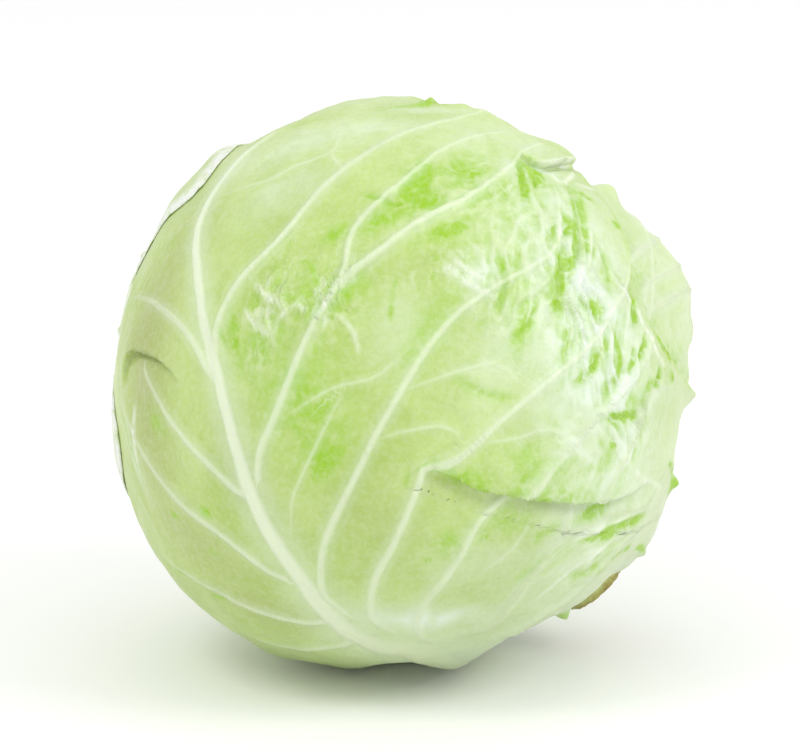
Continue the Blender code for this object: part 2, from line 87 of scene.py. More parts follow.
@dataclass(frozen=True)
class Head:
    """The whole head's size, how it lies, and its large bumps and hollows."""

    radius: float = 90 * MM
    view_distance: float = 1.6
    view_tilt: float = math.radians(14)
    flat_spot_radius: float = 15 * MM
    mean_relief: float = 1 * MM
    stalk_towards: Point = (0.67, -0.68, -0.31)
    midrib_towards: Point = (-0.556, -0.234, 0.798)

    def seen(self, right_mm: float, up_mm: float, raised: float = mean_relief) -> Array:
        """The direction of the point of the raised head that shows there in the front view.

        Args:
            right_mm: Millimetres to the right of the head's middle.
            up_mm: Millimetres above the head's middle.
            raised: Height of the surface there over the plain head, in metres.

        Returns:
            A unit direction in the front view's axes.
        """
        across = np.array([right_mm * MM, up_mm * MM, -self.view_distance])
        a = across @ across
        half_b = -self.view_distance * self.view_distance
        radius = self.radius
        for _ in range(4):
            c = self.view_distance**2 - (radius + raised) ** 2
            reach = (-half_b - math.sqrt(max(0.0, half_b * half_b - a * c))) / a
            towards = unit(np.array([0, 0, self.view_distance]) + reach * across)
            radius = self.radius_at(towards[None])[0]
        return towards

    @property
    def stalk_axis(self) -> Array:
        """The direction of the stalk."""
        return unit(np.array(self.stalk_towards))

    @property
    def axes(self) -> tuple[Array, Array, Array]:
        """The stalk's direction, and the directions of longitude 0 and 90 about it."""
        axis = self.stalk_axis
        middle = np.array(self.midrib_towards)
        zero = unit(middle - (middle @ axis) * axis)
        return axis, zero, np.cross(zero, axis)

    @property
    def turn(self) -> Array:
        """The front view's axes as world directions, one in each row."""
        sine, cosine = math.sin(self.view_tilt), math.cos(self.view_tilt)
        return np.array([(1, 0, 0), (0, sine, cosine), (0, -cosine, sine)])

    @property
    def down(self) -> Array:
        """The world's downward direction in the front view's axes."""
        return np.array([0, -math.cos(self.view_tilt), -math.sin(self.view_tilt)])

    def polar(self, colatitude: float, longitude: float) -> Array:
        """The direction at this colatitude from the stalk and longitude from the front midrib."""
        axis, zero, ninety = self.axes
        col, lon = math.radians(colatitude), math.radians(longitude)
        return math.cos(col) * axis + math.sin(col) * (math.cos(lon) * zero + math.sin(lon) * ninety)

    def swellings(self) -> list[tuple[Array, float, float]]:
        """Where the head stands out of a ball or falls short: direction, height in mm, spread in degrees."""
        return [
            (limb(359), 4.2, 6),
            (limb(20), 7.4, 13),
            (limb(43.5), 4.6, 3.5),
            (limb(52), -10.2, 6.5),
            (limb(70), -8.0, 5.5),
            (limb(70, -8), -4.5, 7),
            (limb(70, 8), -2.5, 6),
            (limb(92), -2.2, 5),
            (limb(116), -3.2, 11),
            (limb(127), 2.0, 5),
            (limb(151.5), -7.2, 6.5),
            (limb(170), -3.2, 9),
            (limb(186), -5.6, 5.4),
            (limb(208), 0.6, 8),
            (limb(228), 3.6, 24),
            (limb(245), 1.1, 5),
            (limb(271), -5.4, 6.5),
            (limb(271, 9), -2.5, 7),
            (limb(296.5), -9.4, 8),
            (limb(296, -10), -6.0, 8),
            (limb(297, 9), -4.4, 7.5),
            (limb(315, 3), -2.6, 5.5),
            (limb(320), 1.2, 4),
            (limb(327), 2.6, 8),
            (limb(340), 1.2, 5),
            (limb(350), -5.2, 9),
            (self.stalk_axis, -5.5, 15),
        ]

    def radius_at(self, dirs: Array) -> Array:
        """The head's radius in each direction, before any leaf's own level and relief."""
        radius = np.full(len(dirs), self.radius)
        for towards, height_mm, spread in self.swellings():
            angle = np.degrees(np.arccos(np.clip(dirs @ towards, -1, 1)))
            radius += height_mm * MM * bell(angle, spread)
        return radius

    @property
    def rest_height(self) -> float:
        """Height of the head's middle over the flat spot that it rests on."""
        return float(self.radius_at(self.down[None])[0]) - self.flat_spot_radius**2 / (2 * self.radius)

    def to_world(self, points: Array) -> Array:
        """Points in the front view's axes about the head's middle, as world points."""
        return points @ self.turn + np.array([0, 0, self.rest_height])

    def directions(self, points: list[Point]) -> Array:
        """Directions of a list that mixes (mm right, mm up) pairs with directions."""
        return np.array([self.seen(*p) if len(p) == 2 else p for p in points])

    def path(self, points: list[Point], step: float, closed: bool = False) -> Array:
        """Directions along a smooth curve on the ball through the points.

        Args:
            points: The curve's own points, as directions or as (mm right, mm up).
            step: Distance between the directions that come back, in metres on the head.
            closed: Whether the curve runs back to its first point.

        Returns:
            The directions, one in each row. A closed curve's first isn't repeated.
        """
        knots = self.directions(points)
        count = len(knots)
        fine = []
        for i in range(count if closed else count - 1):
            if closed:
                p = [knots[(i + k) % count] for k in (-1, 0, 1, 2)]
            else:
                p = [knots[min(max(i + k, 0), count - 1)] for k in (-1, 0, 1, 2)]
            for t in np.linspace(0, 1, 12, endpoint=False):
                bend = 2 * p[0] - 5 * p[1] + 4 * p[2] - p[3]
                swing = 3 * p[1] - p[0] - 3 * p[2] + p[3]
                fine.append(0.5 * (2 * p[1] + (p[2] - p[0]) * t + bend * t**2 + swing * t**3))
        fine.append(knots[0] if closed else knots[-1])
        fine = unit(np.array(fine))
        length = np.concatenate([[0], np.cumsum(np.linalg.norm(np.diff(fine, axis=0), axis=1))])
        places = np.linspace(0, length[-1], max(2, round(length[-1] * self.radius / step)) + 1)
        even = np.column_stack([np.interp(places, length, fine[:, k]) for k in range(3)])
        return unit(even[:-1] if closed else even)

    def nearest(self, dirs: Array, path: Array) -> tuple[Array, Array, Array]:
        """How each direction lies to a path.

        Args:
            dirs: The directions, one in each row.
            path: The path's directions in order.

        Returns:
            The distance on the head, positive on the path's left; the share of the path's length at
            the nearest place; and the direction to the path's left there.
        """
        start, run = path[:-1], np.diff(path, axis=0)
        squared = (run**2).sum(1)
        left = unit(np.cross(start, run))
        away, share, turned = np.empty(len(dirs)), np.empty(len(dirs)), np.empty((len(dirs), 3))
        for first in range(0, len(dirs), 20000):
            rows = slice(first, first + 20000)
            part = dirs[rows]
            offset = part[:, None, :] - start[None]
            along = np.clip(np.einsum("ijk,jk->ij", offset, run) / squared, 0, 1)
            gap = ((offset - along[..., None] * run) ** 2).sum(2)
            best = gap.argmin(1)
            line = np.arange(len(part))
            side = np.sign(np.einsum("ij,ij->i", left[best], part))
            away[rows] = side * self.radius * np.sqrt(gap[line, best])
            share[rows] = (best + along[line, best]) / len(run)
            turned[rows] = left[best]
        return away, share, turned


HEAD = Head()
LEFT_LIFT = 1.7 * MM
RIGHT_LEVEL = -3.2 * MM
FULL_THICKNESS = (0.35 * MM, 1.7 * MM)
polar = HEAD.polar


class LeafMap:
    """A flat map of the ball round one leaf's middle, true to distance from that middle."""

    def __init__(self, middle: Array) -> None:
        """Centres the map on the middle, with the leaf's tip up."""
        tip = -HEAD.stalk_axis
        self.middle = unit(middle)
        self.up = unit(tip - (tip @ self.middle) * self.middle)
        self.right = np.cross(self.up, self.middle)

    def flatten(self, dirs: Array) -> Array:
        """Map points of these directions, in metres."""
        angle = np.arccos(np.clip(dirs @ self.middle, -1, 1))
        across = np.column_stack([dirs @ self.right, dirs @ self.up])
        length = np.maximum(np.linalg.norm(across, axis=1), 1e-12)
        return HEAD.radius * across * (angle / length)[:, None]

    def raise_up(self, points: Array) -> Array:
        """Directions of these map points."""
        angle = np.maximum(np.linalg.norm(points, axis=1), 1e-12) / HEAD.radius
        across = points / (angle * HEAD.radius)[:, None]
        sideways = across[:, :1] * self.right + across[:, 1:] * self.up
        return np.cos(angle)[:, None] * self.middle + np.sin(angle)[:, None] * sideways


@dataclass(frozen=True)
class Ribs:
    """Sizes of a leaf's midrib and side veins: the value at the stalk, and at the far end."""

    midrib_half_width: tuple[float, float] = (12.5 * MM, 1.6 * MM)
    midrib_height: tuple[float, float] = (3.0 * MM, 0.9 * MM)
    midrib_taper: float = 3.0
    vein_half_width: tuple[float, float] = (1.25 * MM, 0.6 * MM)
    vein_height: tuple[float, float] = (1.3 * MM, 0.45 * MM)
    shoulder_reach: float = 8 * MM
    shoulder_height: float = 1.1 * MM
    fine_half_width: float = 0.55 * MM
    fine_height: float = 0.25 * MM


@dataclass(frozen=True)
class Fold:
    """A place where the leaf buckles and its upper side hangs over its lower side."""

    points: list[Point]
    height: float = 3 * MM
    reach: float = 13 * MM
    overhang: float = 4 * MM
    drop: float = 1.2 * MM
    groove: float = 1.8 * MM


@dataclass(frozen=True)
class Crease:
    """A sharp valley in the leaf, with the lamina puffed up beside it."""

    points: list[Point]
    depth: float = 1.6 * MM
    half_width: float = 1.3 * MM
    puff_reach: float = 7 * MM
    # Strength of the painted shade, as deeper green, along the crease's valley.
    green: float = 0.8


@dataclass(frozen=True)
class Stroke:
    """A thin line of colour on the leaf, raised a little if it is a ridge. White lines on ridges are partly
    painted highlight, green lines in valleys partly painted shade.
    """

    points: list[Point]
    half_width: float = 0.8 * MM
    strength: float = 0.8
    height: float = 0.0


@dataclass(frozen=True)
class Patch:
    """A soft-edged patch of deeper green or of pale leaf."""

    middle: Point
    size: tuple[float, float]
    lean: float = 0.0
    strength: float = 1.0

    def across(self, dirs: Array) -> tuple[Array, Array, Array]:
        """Where each direction lies in the patch.

        Args:
            dirs: The directions, one in each row.

        Returns:
            Millimetres along the patch and across it from its middle, and how far inside it is, to 1.
        """
        middle = HEAD.directions([self.middle])[0]
        level = unit(np.cross((0, 1, 0), middle))
        rise = np.cross(middle, level)
        x, y = dirs @ level * HEAD.radius / MM, dirs @ rise * HEAD.radius / MM
        cosine, sine = math.cos(math.radians(self.lean)), math.sin(math.radians(self.lean))
        along, sideways = x * cosine + y * sine, y * cosine - x * sine
        inside = bell(np.hypot(along / self.size[0], sideways / self.size[1]), 1.0) * (dirs @ middle > 0)
        return along, sideways, inside


@dataclass(frozen=True)
class Lump(Patch):
    """A raised lobe of the leaf, whose strength is its height in millimetres."""


@dataclass(frozen=True)
class Crumple(Patch):
    """A stretch of wrinkled leaf, whose strength is the wrinkles' height in millimetres."""

    grain: tuple[float, float] = (14.0, 4.5)
    # Strength of the painted highlight on the wrinkles' crests and painted shade in their troughs.
    painted_wrinkle_shading: float = 0.5

    def relief(self, dirs: Array, shift: float) -> Array:
        """Share of the wrinkles' height: sharp crests and troughs that run along the patch."""
        along, sideways, inside = self.across(dirs)
        height = np.zeros(len(dirs))
        for row in np.nonzero(inside > 0.03)[0]:
            bend = noise.noise(Vector((along[row] / 22, sideways[row] / 22, shift + 5)))
            place = Vector((along[row] / self.grain[0], sideways[row] / self.grain[1] + 1.6 * bend, shift))
            crest = 1 - min(1.0, 3.2 * abs(noise.noise(place)))
            small = noise.noise(place * 2.7)
            height[row] = crest * crest - 0.3 + 0.35 * small
        return inside * height


@dataclass(frozen=True)
class LeafPlan:
    """Where one wrapper leaf lies and what is drawn on it."""

    name: str
    slot: str
    middle: Array
    level: float
    outline: list[Point]
    midrib: list[Point]
    veins: list[list[Point]]
    seed: int
    fine_veins: list[list[Point]] = field(default_factory=list)
    folds: list[Fold] = field(default_factory=list)
    creases: list[Crease] = field(default_factory=list)
    lumps: list[Lump] = field(default_factory=list)
    crumples: list[Crumple] = field(default_factory=list)
    green: list[Patch] = field(default_factory=list)
    pale: list[Patch] = field(default_factory=list)
    olive: list[Patch] = field(default_factory=list)
    # Glossy places, which also get painted glints and painted shade in their hollows.
    gloss_and_glints: list[Patch] = field(default_factory=list)
    white_strokes: list[Stroke] = field(default_factory=list)
    green_strokes: list[Stroke] = field(default_factory=list)
    grid: int = 200
    lift: float = 0.0
    pallor: float = 0.0
    margin_white: float = 0.0
    rim: float = 0.6
    waviness: float = 1.0


class Layer(Enum):
    """The vein layers that a leaf's finish reads, each an attribute of its own."""

    MIDRIB = "midrib"
    EVEN = "veins_even"
    ODD = "veins_odd"
    FINE = "veins_fine"


@dataclass
class WrapperLeaf:
    """One wrapper leaf, built as a fine grid over its outline and closed by a thin underside."""

    plan: LeafPlan
    ribs: Ribs = Ribs()
    thickness: tuple[float, float] = (0.35 * MM, 0.9 * MM)
    under_grid: int = 56
    wave: float = 1.8 * MM
    wave_reach: float = 11 * MM
    fray: float = 0.9 * MM
    curl: float = 1.6 * MM
    pucker: float = 0.4 * MM
    pressed: float = 1.0 * MM
    pucker_size: float = 10 * MM
    covered_relief: float = 0.08
    margin_reach: float = 9 * MM
    covers: list["WrapperLeaf"] = field(default_factory=list)
    lifted_over: "WrapperLeaf | None" = None

    def __post_init__(self) -> None:
        """Works out the leaf's map, outline and lines."""
        plan = self.plan
        self.map = LeafMap(plan.middle)
        self.edge = HEAD.path(plan.outline, 7 * MM, closed=True)
        self.ring = self.map.flatten(self.edge)
        self.midrib = HEAD.path(plan.midrib, 4 * MM)
        self.veins = [HEAD.path(vein, 4 * MM) for vein in plan.veins]
        self.phase = plan.seed * 1.7
        self.fine = [HEAD.path(vein, 4 * MM) for vein in plan.fine_veins]
        self.twigs = [] if plan.fine_veins else self.branches()

    def branches(self) -> list[Array]:
        """Thin veins that leave the side veins at a slant and bend along them."""
        rng = np.random.default_rng(self.plan.seed)
        made = []
        for vein in self.veins:
            for spot in range(2, len(vein) - 1, 4):
                side = 1 if (spot // 4) % 2 else -1
                ahead = unit(vein[spot + 1] - vein[spot - 1])
                left = np.cross(vein[spot], ahead)
                slant = math.radians(rng.uniform(45, 80))
                bend = rng.uniform(-0.22, 0.1)
                length = rng.uniform(10, 20) * MM / HEAD.radius
                place = vein[spot]
                points = [tuple(place)]
                for step in range(5):
                    turn = slant + bend * step + rng.uniform(-0.12, 0.12)
                    heading = math.cos(turn) * ahead + side * math.sin(turn) * left
                    place = unit(place + heading * length / 5)
                    points.append(tuple(place))
                made.append(HEAD.path(points, 3 * MM))
        return made

    def outline_reach(self, angle: Array) -> Array:
        """Distance of the outline from the leaf's middle at each angle round its map."""
        at = np.arctan2(self.ring[:, 1], self.ring[:, 0])
        reach = np.hypot(self.ring[:, 0], self.ring[:, 1])
        order = np.argsort(at)
        return np.interp(angle, at[order], reach[order], period=2 * math.pi)

    def frayed(self, angle: Array) -> Array:
        """Small ins and outs of the margin at each angle."""
        rough = np.sin(angle * 37 + self.phase) * 0.4 + np.sin(angle * 61 + 2.3 * self.phase) * 0.35
        nick = np.sin(angle * 97 + 0.7 * self.phase) ** 8
        uneven = 0.4 + 0.6 * np.sin(angle * 7 + self.phase) ** 2
        return self.plan.waviness * self.fray * (rough * uneven - 0.9 * nick)

    def depth(self, dirs: Array) -> Array:
        """Distance of each direction inside this leaf's margin, negative outside it."""
        flat = self.map.flatten(dirs)
        closed = np.vstack([self.edge, self.edge[:1]])
        away, _, _ = HEAD.nearest(dirs, closed)
        reach = self.outline_reach(np.arctan2(flat[:, 1], flat[:, 0]))
        return np.where(np.hypot(flat[:, 0], flat[:, 1]) < reach, np.abs(away), -np.abs(away))

    def base(self, dirs: Array) -> Array:
        """The outer face's radius before relief."""
        radius = HEAD.radius_at(dirs) + self.plan.level
        if self.lifted_over is not None:
            over = self.over(dirs)
            radius += over * (self.plan.lift - self.pressed * np.exp(-np.abs(self.depth(dirs)) / (2.5 * MM)))
        return radius

    def over(self, dirs: Array) -> Array:
        """1 where this leaf lies over the one that it is lifted over, 0 where it lies beside it."""
        if self.lifted_over is None:
            return np.zeros(len(dirs))
        return smoothstep((self.lifted_over.depth(dirs) + 16 * MM) / (12 * MM))

    def bare(self, dirs: Array) -> Array:
        """1 where no other leaf covers this one, less under a cover."""
        shown = np.ones(len(dirs))
        for cover in self.covers:
            shown *= smoothstep((-cover.depth(dirs) - 3 * MM) / (14 * MM))
        return self.covered_relief + (1 - self.covered_relief) * shown

    def midrib_relief(self, dirs: Array) -> Array:
        """Height of the midrib's keel."""
        away, share, _ = HEAD.nearest(dirs, self.midrib)
        width = taper(self.ribs.midrib_half_width, share, self.ribs.midrib_taper)
        height = taper(self.ribs.midrib_height, share, self.ribs.midrib_taper)
        height = height * smoothstep(2.8 * share + 0.05)
        return height * np.clip(1 - (away / width) ** 2, 0, 1) ** 0.8

    def vein_relief(self, dirs: Array) -> Array:
        """Height of the side veins, each a narrow ridge on a broad low shoulder."""
        total = np.zeros(len(dirs))
        for vein in self.veins:
            away, share, _ = HEAD.nearest(dirs, vein)
            ridge = taper(self.ribs.vein_height, share) * bell(away, taper(self.ribs.vein_half_width, share))
            shoulder = self.ribs.shoulder_height * np.exp(-np.abs(away) / self.ribs.shoulder_reach)
            total = np.maximum(total, (ridge + shoulder) * smoothstep(share * 8 + 0.3))
        for vein in self.fine:
            away, share, _ = HEAD.nearest(dirs, vein)
            ridge = self.ribs.fine_height * bell(away, self.ribs.fine_half_width * 1.4)
            total += ridge * np.sin(math.pi * np.clip(share, 0.02, 0.98)) ** 0.4
        for stroke in self.plan.white_strokes + self.plan.green_strokes:
            total += stroke.height * self.along(dirs, stroke.points, stroke.half_width)
        return total

    def along(self, dirs: Array, points: list[Point], half_width: float) -> Array:
        """1 on the line through the points, falling to 0 beside it and at its ends."""
        away, share, _ = HEAD.nearest(dirs, HEAD.path(points, 4 * MM))
        return bell(away, half_width) * np.sin(math.pi * np.clip(share, 0.0, 1.0)) ** 0.5

    def crease_relief(self, dirs: Array) -> Array:
        """Height round the creases: the lamina puffs up beside each crease and dips along its line."""
        puffed, dip = np.zeros(len(dirs)), np.zeros(len(dirs))
        for crease in self.plan.creases:
            away, share, _ = HEAD.nearest(dirs, HEAD.path(crease.points, 4 * MM))
            ends = np.sin(math.pi * np.clip(share, 0.04, 0.96)) ** 0.5
            puffed = np.maximum(puffed, crease.depth * ends * bell(away, crease.puff_reach))
            dip = np.maximum(dip, crease.depth * ends / (1 + (away / crease.half_width) ** 2))
        return puffed - dip

    def margin_relief(self, dirs: Array) -> Array:
        """Height of the waved and lightly curled margin."""
        flat = self.map.flatten(dirs)
        angle = np.arctan2(flat[:, 1], flat[:, 0])
        depth = np.abs(self.depth(dirs))
        ripple = 0.5 + 0.5 * np.sin(angle * 11 + self.phase)
        slow = 0.5 + 0.5 * np.sin(angle * 5 + 2.2 * self.phase)
        short = 0.5 + 0.5 * np.sin(angle * 29 + 3.1 * self.phase)
        curled = self.curl * short * (0.3 + 0.7 * slow) * np.exp(-depth / (3.5 * MM))
        waved = self.wave * ripple * slow * bell(depth, self.wave_reach) + curled
        return self.plan.waviness * (1 - 0.85 * self.over(dirs)) * waved

    def lump_relief(self, dirs: Array) -> tuple[Array, Array]:
        """Height of the raised lobes and wrinkled stretches, and the wrinkles' painted light: painted
        highlight up their crests and painted shade down their troughs.
        """
        total, painted_wrinkle_shading = np.zeros(len(dirs)), np.zeros(len(dirs))
        for lump in self.plan.lumps:
            total += lump.strength * MM * lump.across(dirs)[2]
        for number, crumple in enumerate(self.plan.crumples):
            share = crumple.relief(dirs, self.phase + 3 * number)
            total += crumple.strength * MM * share
            painted_wrinkle_shading += crumple.painted_wrinkle_shading * share
        return total, painted_wrinkle_shading

    def pucker_relief(self, dirs: Array) -> Array:
        """Small bumps of the lamina between its veins."""
        places = dirs * HEAD.radius / self.pucker_size
        shift = Vector((self.phase, -self.phase, 2 * self.phase))
        bumps = [noise.noise(Vector(p) + shift) + 0.45 * noise.noise(Vector(p) * 2.3 + shift) for p in places]
        return self.pucker * np.array(bumps)

    def outer_radius(self, dirs: Array, lumps: Array) -> Array:
        """The outer face's radius in each direction, with lumps of these heights, before its folds."""
        at_rest = np.degrees(np.arccos(np.clip(dirs @ HEAD.down, -1, 1)))
        rested = smoothstep(at_rest / 14 - 0.6)
        raised = np.maximum(self.midrib_relief(dirs), self.vein_relief(dirs))
        raised = raised + self.crease_relief(dirs) + self.margin_relief(dirs) + self.pucker_relief(dirs)
        calm = 1 - 0.92 * self.over(dirs) * bell(self.depth(dirs), 7 * MM)
        return self.base(dirs) + self.bare(dirs) * rested * calm * (raised + lumps)

    def folded(self, dirs: Array, radius: Array) -> tuple[Array, Array]:
        """Directions and radii after the leaf's folds have raised and pushed over their upper sides."""
        for fold in self.plan.folds:
            away, share, left = HEAD.nearest(dirs, HEAD.path(fold.points, 3 * MM))
            ends = np.sin(math.pi * np.clip(share, 0, 1)) ** 0.6
            above = away >= 0
            rise = np.where(above, bell(away, fold.reach), 1 - smoothstep(-away / fold.drop))
            groove = fold.groove * bell(away + fold.overhang, 0.8 * fold.overhang) * ~above
            push = fold.overhang * np.where(above, bell(away, 4 * MM), bell(away, fold.drop))
            radius = radius + ends * (fold.height * rise - groove)
            dirs = unit(dirs - left * (ends * push / HEAD.radius)[:, None])
        return dirs, radius

    def blank(self) -> bpy.types.Object:
        """A flat square blank of the leaf: a fine top grid and a coarse under grid, joined round the rim."""
        bpy.ops.object.select_all(action="DESELECT")
        top = self.plan.grid
        bpy.ops.mesh.primitive_grid_add(x_subdivisions=top, y_subdivisions=top, size=2)
        blank = bpy.context.object
        blank.name = blank.data.name = "fine_" + self.plan.name
        bpy.ops.object.mode_set(mode="EDIT")
        low = self.under_grid
        bpy.ops.mesh.primitive_grid_add(x_subdivisions=low, y_subdivisions=low, size=2, location=(0, 0, -1))
        bpy.ops.mesh.flip_normals()
        bpy.ops.mesh.select_all(action="DESELECT")
        bpy.ops.mesh.select_mode(type="EDGE")
        bpy.ops.mesh.select_non_manifold()
        bpy.ops.mesh.bridge_edge_loops()
        bpy.ops.object.mode_set(mode="OBJECT")
        return blank

    def place(self, square: Array) -> Array:
        """Directions of points of the square blank, after it is drawn out to the leaf's outline."""
        u, v = square[:, 0], square[:, 1]
        x, y = u * np.sqrt(1 - v * v / 2), v * np.sqrt(1 - u * u / 2)
        share, angle = np.hypot(x, y), np.arctan2(y, x)
        reach = self.outline_reach(angle) + self.frayed(angle) * smoothstep((share - 0.8) / 0.2)
        return self.map.raise_up(np.column_stack([x, y]) * reach[:, None])

    def build(self) -> bpy.types.Object:
        """Builds the leaf's mesh, with the attributes that its finish reads."""
        piece = self.blank()
        mesh = piece.data
        square = np.empty(len(mesh.vertices) * 3)
        mesh.vertices.foreach_get("co", square)
        square = square.reshape(-1, 3)
        under = square[:, 2] < -0.5
        flat_dirs = self.place(square)
        lumps, painted_wrinkle_shading = self.lump_relief(flat_dirs)
        radius = self.outer_radius(flat_dirs, lumps)
        dirs, radius = self.folded(flat_dirs, radius)
        depth = self.depth(flat_dirs)
        thin, thick = self.thickness
        radius = radius - under * (thin + (thick - thin) * smoothstep(depth / (15 * MM)))
        places = HEAD.to_world(dirs * radius[:, None])
        places[:, 2] = np.maximum(places[:, 2], np.where(under, thin, 0))
        mesh.vertices.foreach_set("co", places.ravel())
        self.write_layers(mesh, flat_dirs, depth, painted_wrinkle_shading)
        mesh.update()
        close(piece)
        return piece

    def write_layers(self, mesh: bpy.types.Mesh, dirs: Array, depth: Array, painted_wrinkle_shading: Array) -> None:
        """Stores the vein layers and the amounts of each colour.

        Args:
            mesh: The leaf's mesh.
            dirs: The directions of its points on the flat leaf.
            depth: Their distances inside the margin.
            painted_wrinkle_shading: How far each is up a wrinkle, or down it if negative; crests get painted
                highlight and troughs painted shade.
        """
        away, share, _ = HEAD.nearest(dirs, self.midrib)
        width = taper(self.ribs.midrib_half_width, share, self.ribs.midrib_taper)
        write_vector(mesh, Layer.MIDRIB.value, away / MM, width / MM, 1 - smoothstep((share - 0.9) / 0.1))
        write_vector(mesh, Layer.EVEN.value, *self.nearest_vein(dirs, self.veins[0::2]))
        write_vector(mesh, Layer.ODD.value, *self.nearest_vein(dirs, self.veins[1::2]))
        write_vector(mesh, Layer.FINE.value, *self.nearest_fine_vein(dirs))
        plan = self.plan
        # Deeper green: the leaf's own green patches and lines, with painted shade under the long fold and in
        # valleys.
        green = self.amount(dirs, plan.green, plan.green_strokes)
        # Painted shade, as deeper green, along each crease's valley.
        for crease in plan.creases:
            green = np.maximum(green, crease.green * self.along(dirs, crease.points, 1.4 * crease.half_width))
        # White: ridge strokes, partly painted highlight, and painted highlight up the wrinkles' crests.
        white = self.amount(dirs, [], plan.white_strokes) + 0.8 * np.clip(painted_wrinkle_shading, 0, 1) ** 1.5
        margin = 1 - smoothstep(depth / self.margin_reach)
        viewer_side = smoothstep((dirs[:, 2] + 0.3) / 0.2)
        white += plan.margin_white * margin * viewer_side
        white *= 1 - 0.8 * np.clip(green, 0, 1)
        # Painted shade, as deeper green, in the wrinkles' troughs.
        write_float(mesh, "green", green + np.clip(-1.8 * painted_wrinkle_shading, 0, 0.55))
        write_float(mesh, "white", white)
        # Pale: the leaf's own paler places, with painted highlight at two glossy places.
        write_float(mesh, "pale", self.amount(dirs, plan.pale, []) + plan.pallor)
        write_float(mesh, "olive", self.amount(dirs, plan.olive, []))
        write_float(mesh, "gloss_and_glints", self.amount(dirs, plan.gloss_and_glints, []))
        write_float(mesh, "rim", plan.rim * (1 - smoothstep((depth / MM - 0.4) / 1.4)))
        colat = np.degrees(np.arccos(np.clip(dirs @ HEAD.stalk_axis, -1, 1)))
        write_float(mesh, "stalkward", 1 - smoothstep((colat - 15) / 75))

    def nearest_vein(self, dirs: Array, veins: list[Array]) -> tuple[Array, Array, Array]:
        """Signed distance to the nearest of the side veins, its half-width and its strength, in mm.

        Args:
            dirs: The directions of the mesh's points.
            veins: The veins of one layer.

        Returns:
            Distance, half-width and strength. The strength is 0 well away from every vein.
        """
        best = np.full(len(dirs), 99.0)
        width, strength = np.ones(len(dirs)), np.zeros(len(dirs))
        for vein in veins:
            away, share, _ = HEAD.nearest(dirs, vein)
            closer = np.abs(away) / MM < np.abs(best)
            best = np.where(closer, away / MM, best)
            width = np.where(closer, taper(self.ribs.vein_half_width, share) / MM, width)
            strength = np.where(closer, 1 - 0.5 * share**3, strength)
        return np.clip(best, -6, 6), width, strength * (1 - smoothstep((np.abs(best) - 3.5) / 1.5))

    def nearest_fine_vein(self, dirs: Array) -> tuple[Array, Array, Array]:
        """The same for the fine veins, which are all of one width and fade at both ends."""
        best, strength = np.full(len(dirs), 99.0), np.zeros(len(dirs))
        for full, veins in ((1.0, self.fine), (0.35, self.twigs)):
            for vein in veins:
                away, share, _ = HEAD.nearest(dirs, vein)
                closer = np.abs(away) / MM < np.abs(best)
                best = np.where(closer, away / MM, best)
                ends = np.sin(math.pi * np.clip(share, 0.03, 0.97)) ** 0.4
                strength = np.where(closer, full * ends, strength)
        width = np.full(len(dirs), self.ribs.fine_half_width / MM)
        return np.clip(best, -6, 6), width, strength * (1 - smoothstep((np.abs(best) - 3.5) / 1.5))

    def amount(self, dirs: Array, patches: list[Patch], strokes: list[Stroke]) -> Array:
        """How far each point is into the patches and the strokes, from 0 to 1."""
        total = np.zeros(len(dirs))
        for patch in patches:
            total = np.maximum(total, patch.strength * patch.across(dirs)[2])
        for stroke in strokes:
            total = np.maximum(total, stroke.strength * self.along(dirs, stroke.points, stroke.half_width))
        return total


def close(piece: bpy.types.Object) -> None:
    """Turns the faces outwards and shades the piece smooth, with its sharp edges kept crisp."""
    bpy.ops.object.select_all(action="DESELECT")
    piece.select_set(True)
    bpy.context.view_layer.objects.active = piece
    bpy.ops.object.mode_set(mode="EDIT")
    bpy.ops.mesh.select_all(action="SELECT")
    bpy.ops.mesh.normals_make_consistent(inside=False)
    bpy.ops.object.mode_set(mode="OBJECT")
    bpy.ops.object.shade_smooth_by_angle(angle=math.radians(70))


def write_float(mesh: bpy.types.Mesh, name: str, values: Array) -> None:
    """Stores one number for each vertex under this name."""
    values = np.ascontiguousarray(values, np.float32)
    mesh.attributes.new(name, "FLOAT", "POINT").data.foreach_set("value", values)


def write_vector(mesh: bpy.types.Mesh, name: str, x: Array, y: Array, z: Array) -> None:
    """Stores three numbers for each vertex under this name."""
    values = np.column_stack([x, y, z]).astype(np.float32).ravel()
    mesh.attributes.new(name, "FLOAT_VECTOR", "POINT").data.foreach_set("vector", values)


def srgb(red: int, green: int, blue: int) -> tuple[float, float, float, float]:
    """A display colour, 0 to 255, as the linear colour that a shader takes."""
    linear = [(c / 255 + 0.055) ** 2.4 / 1.055**2.4 if c > 10 else c / 3294.6 for c in (red, green, blue)]
    return (*linear, 1.0)


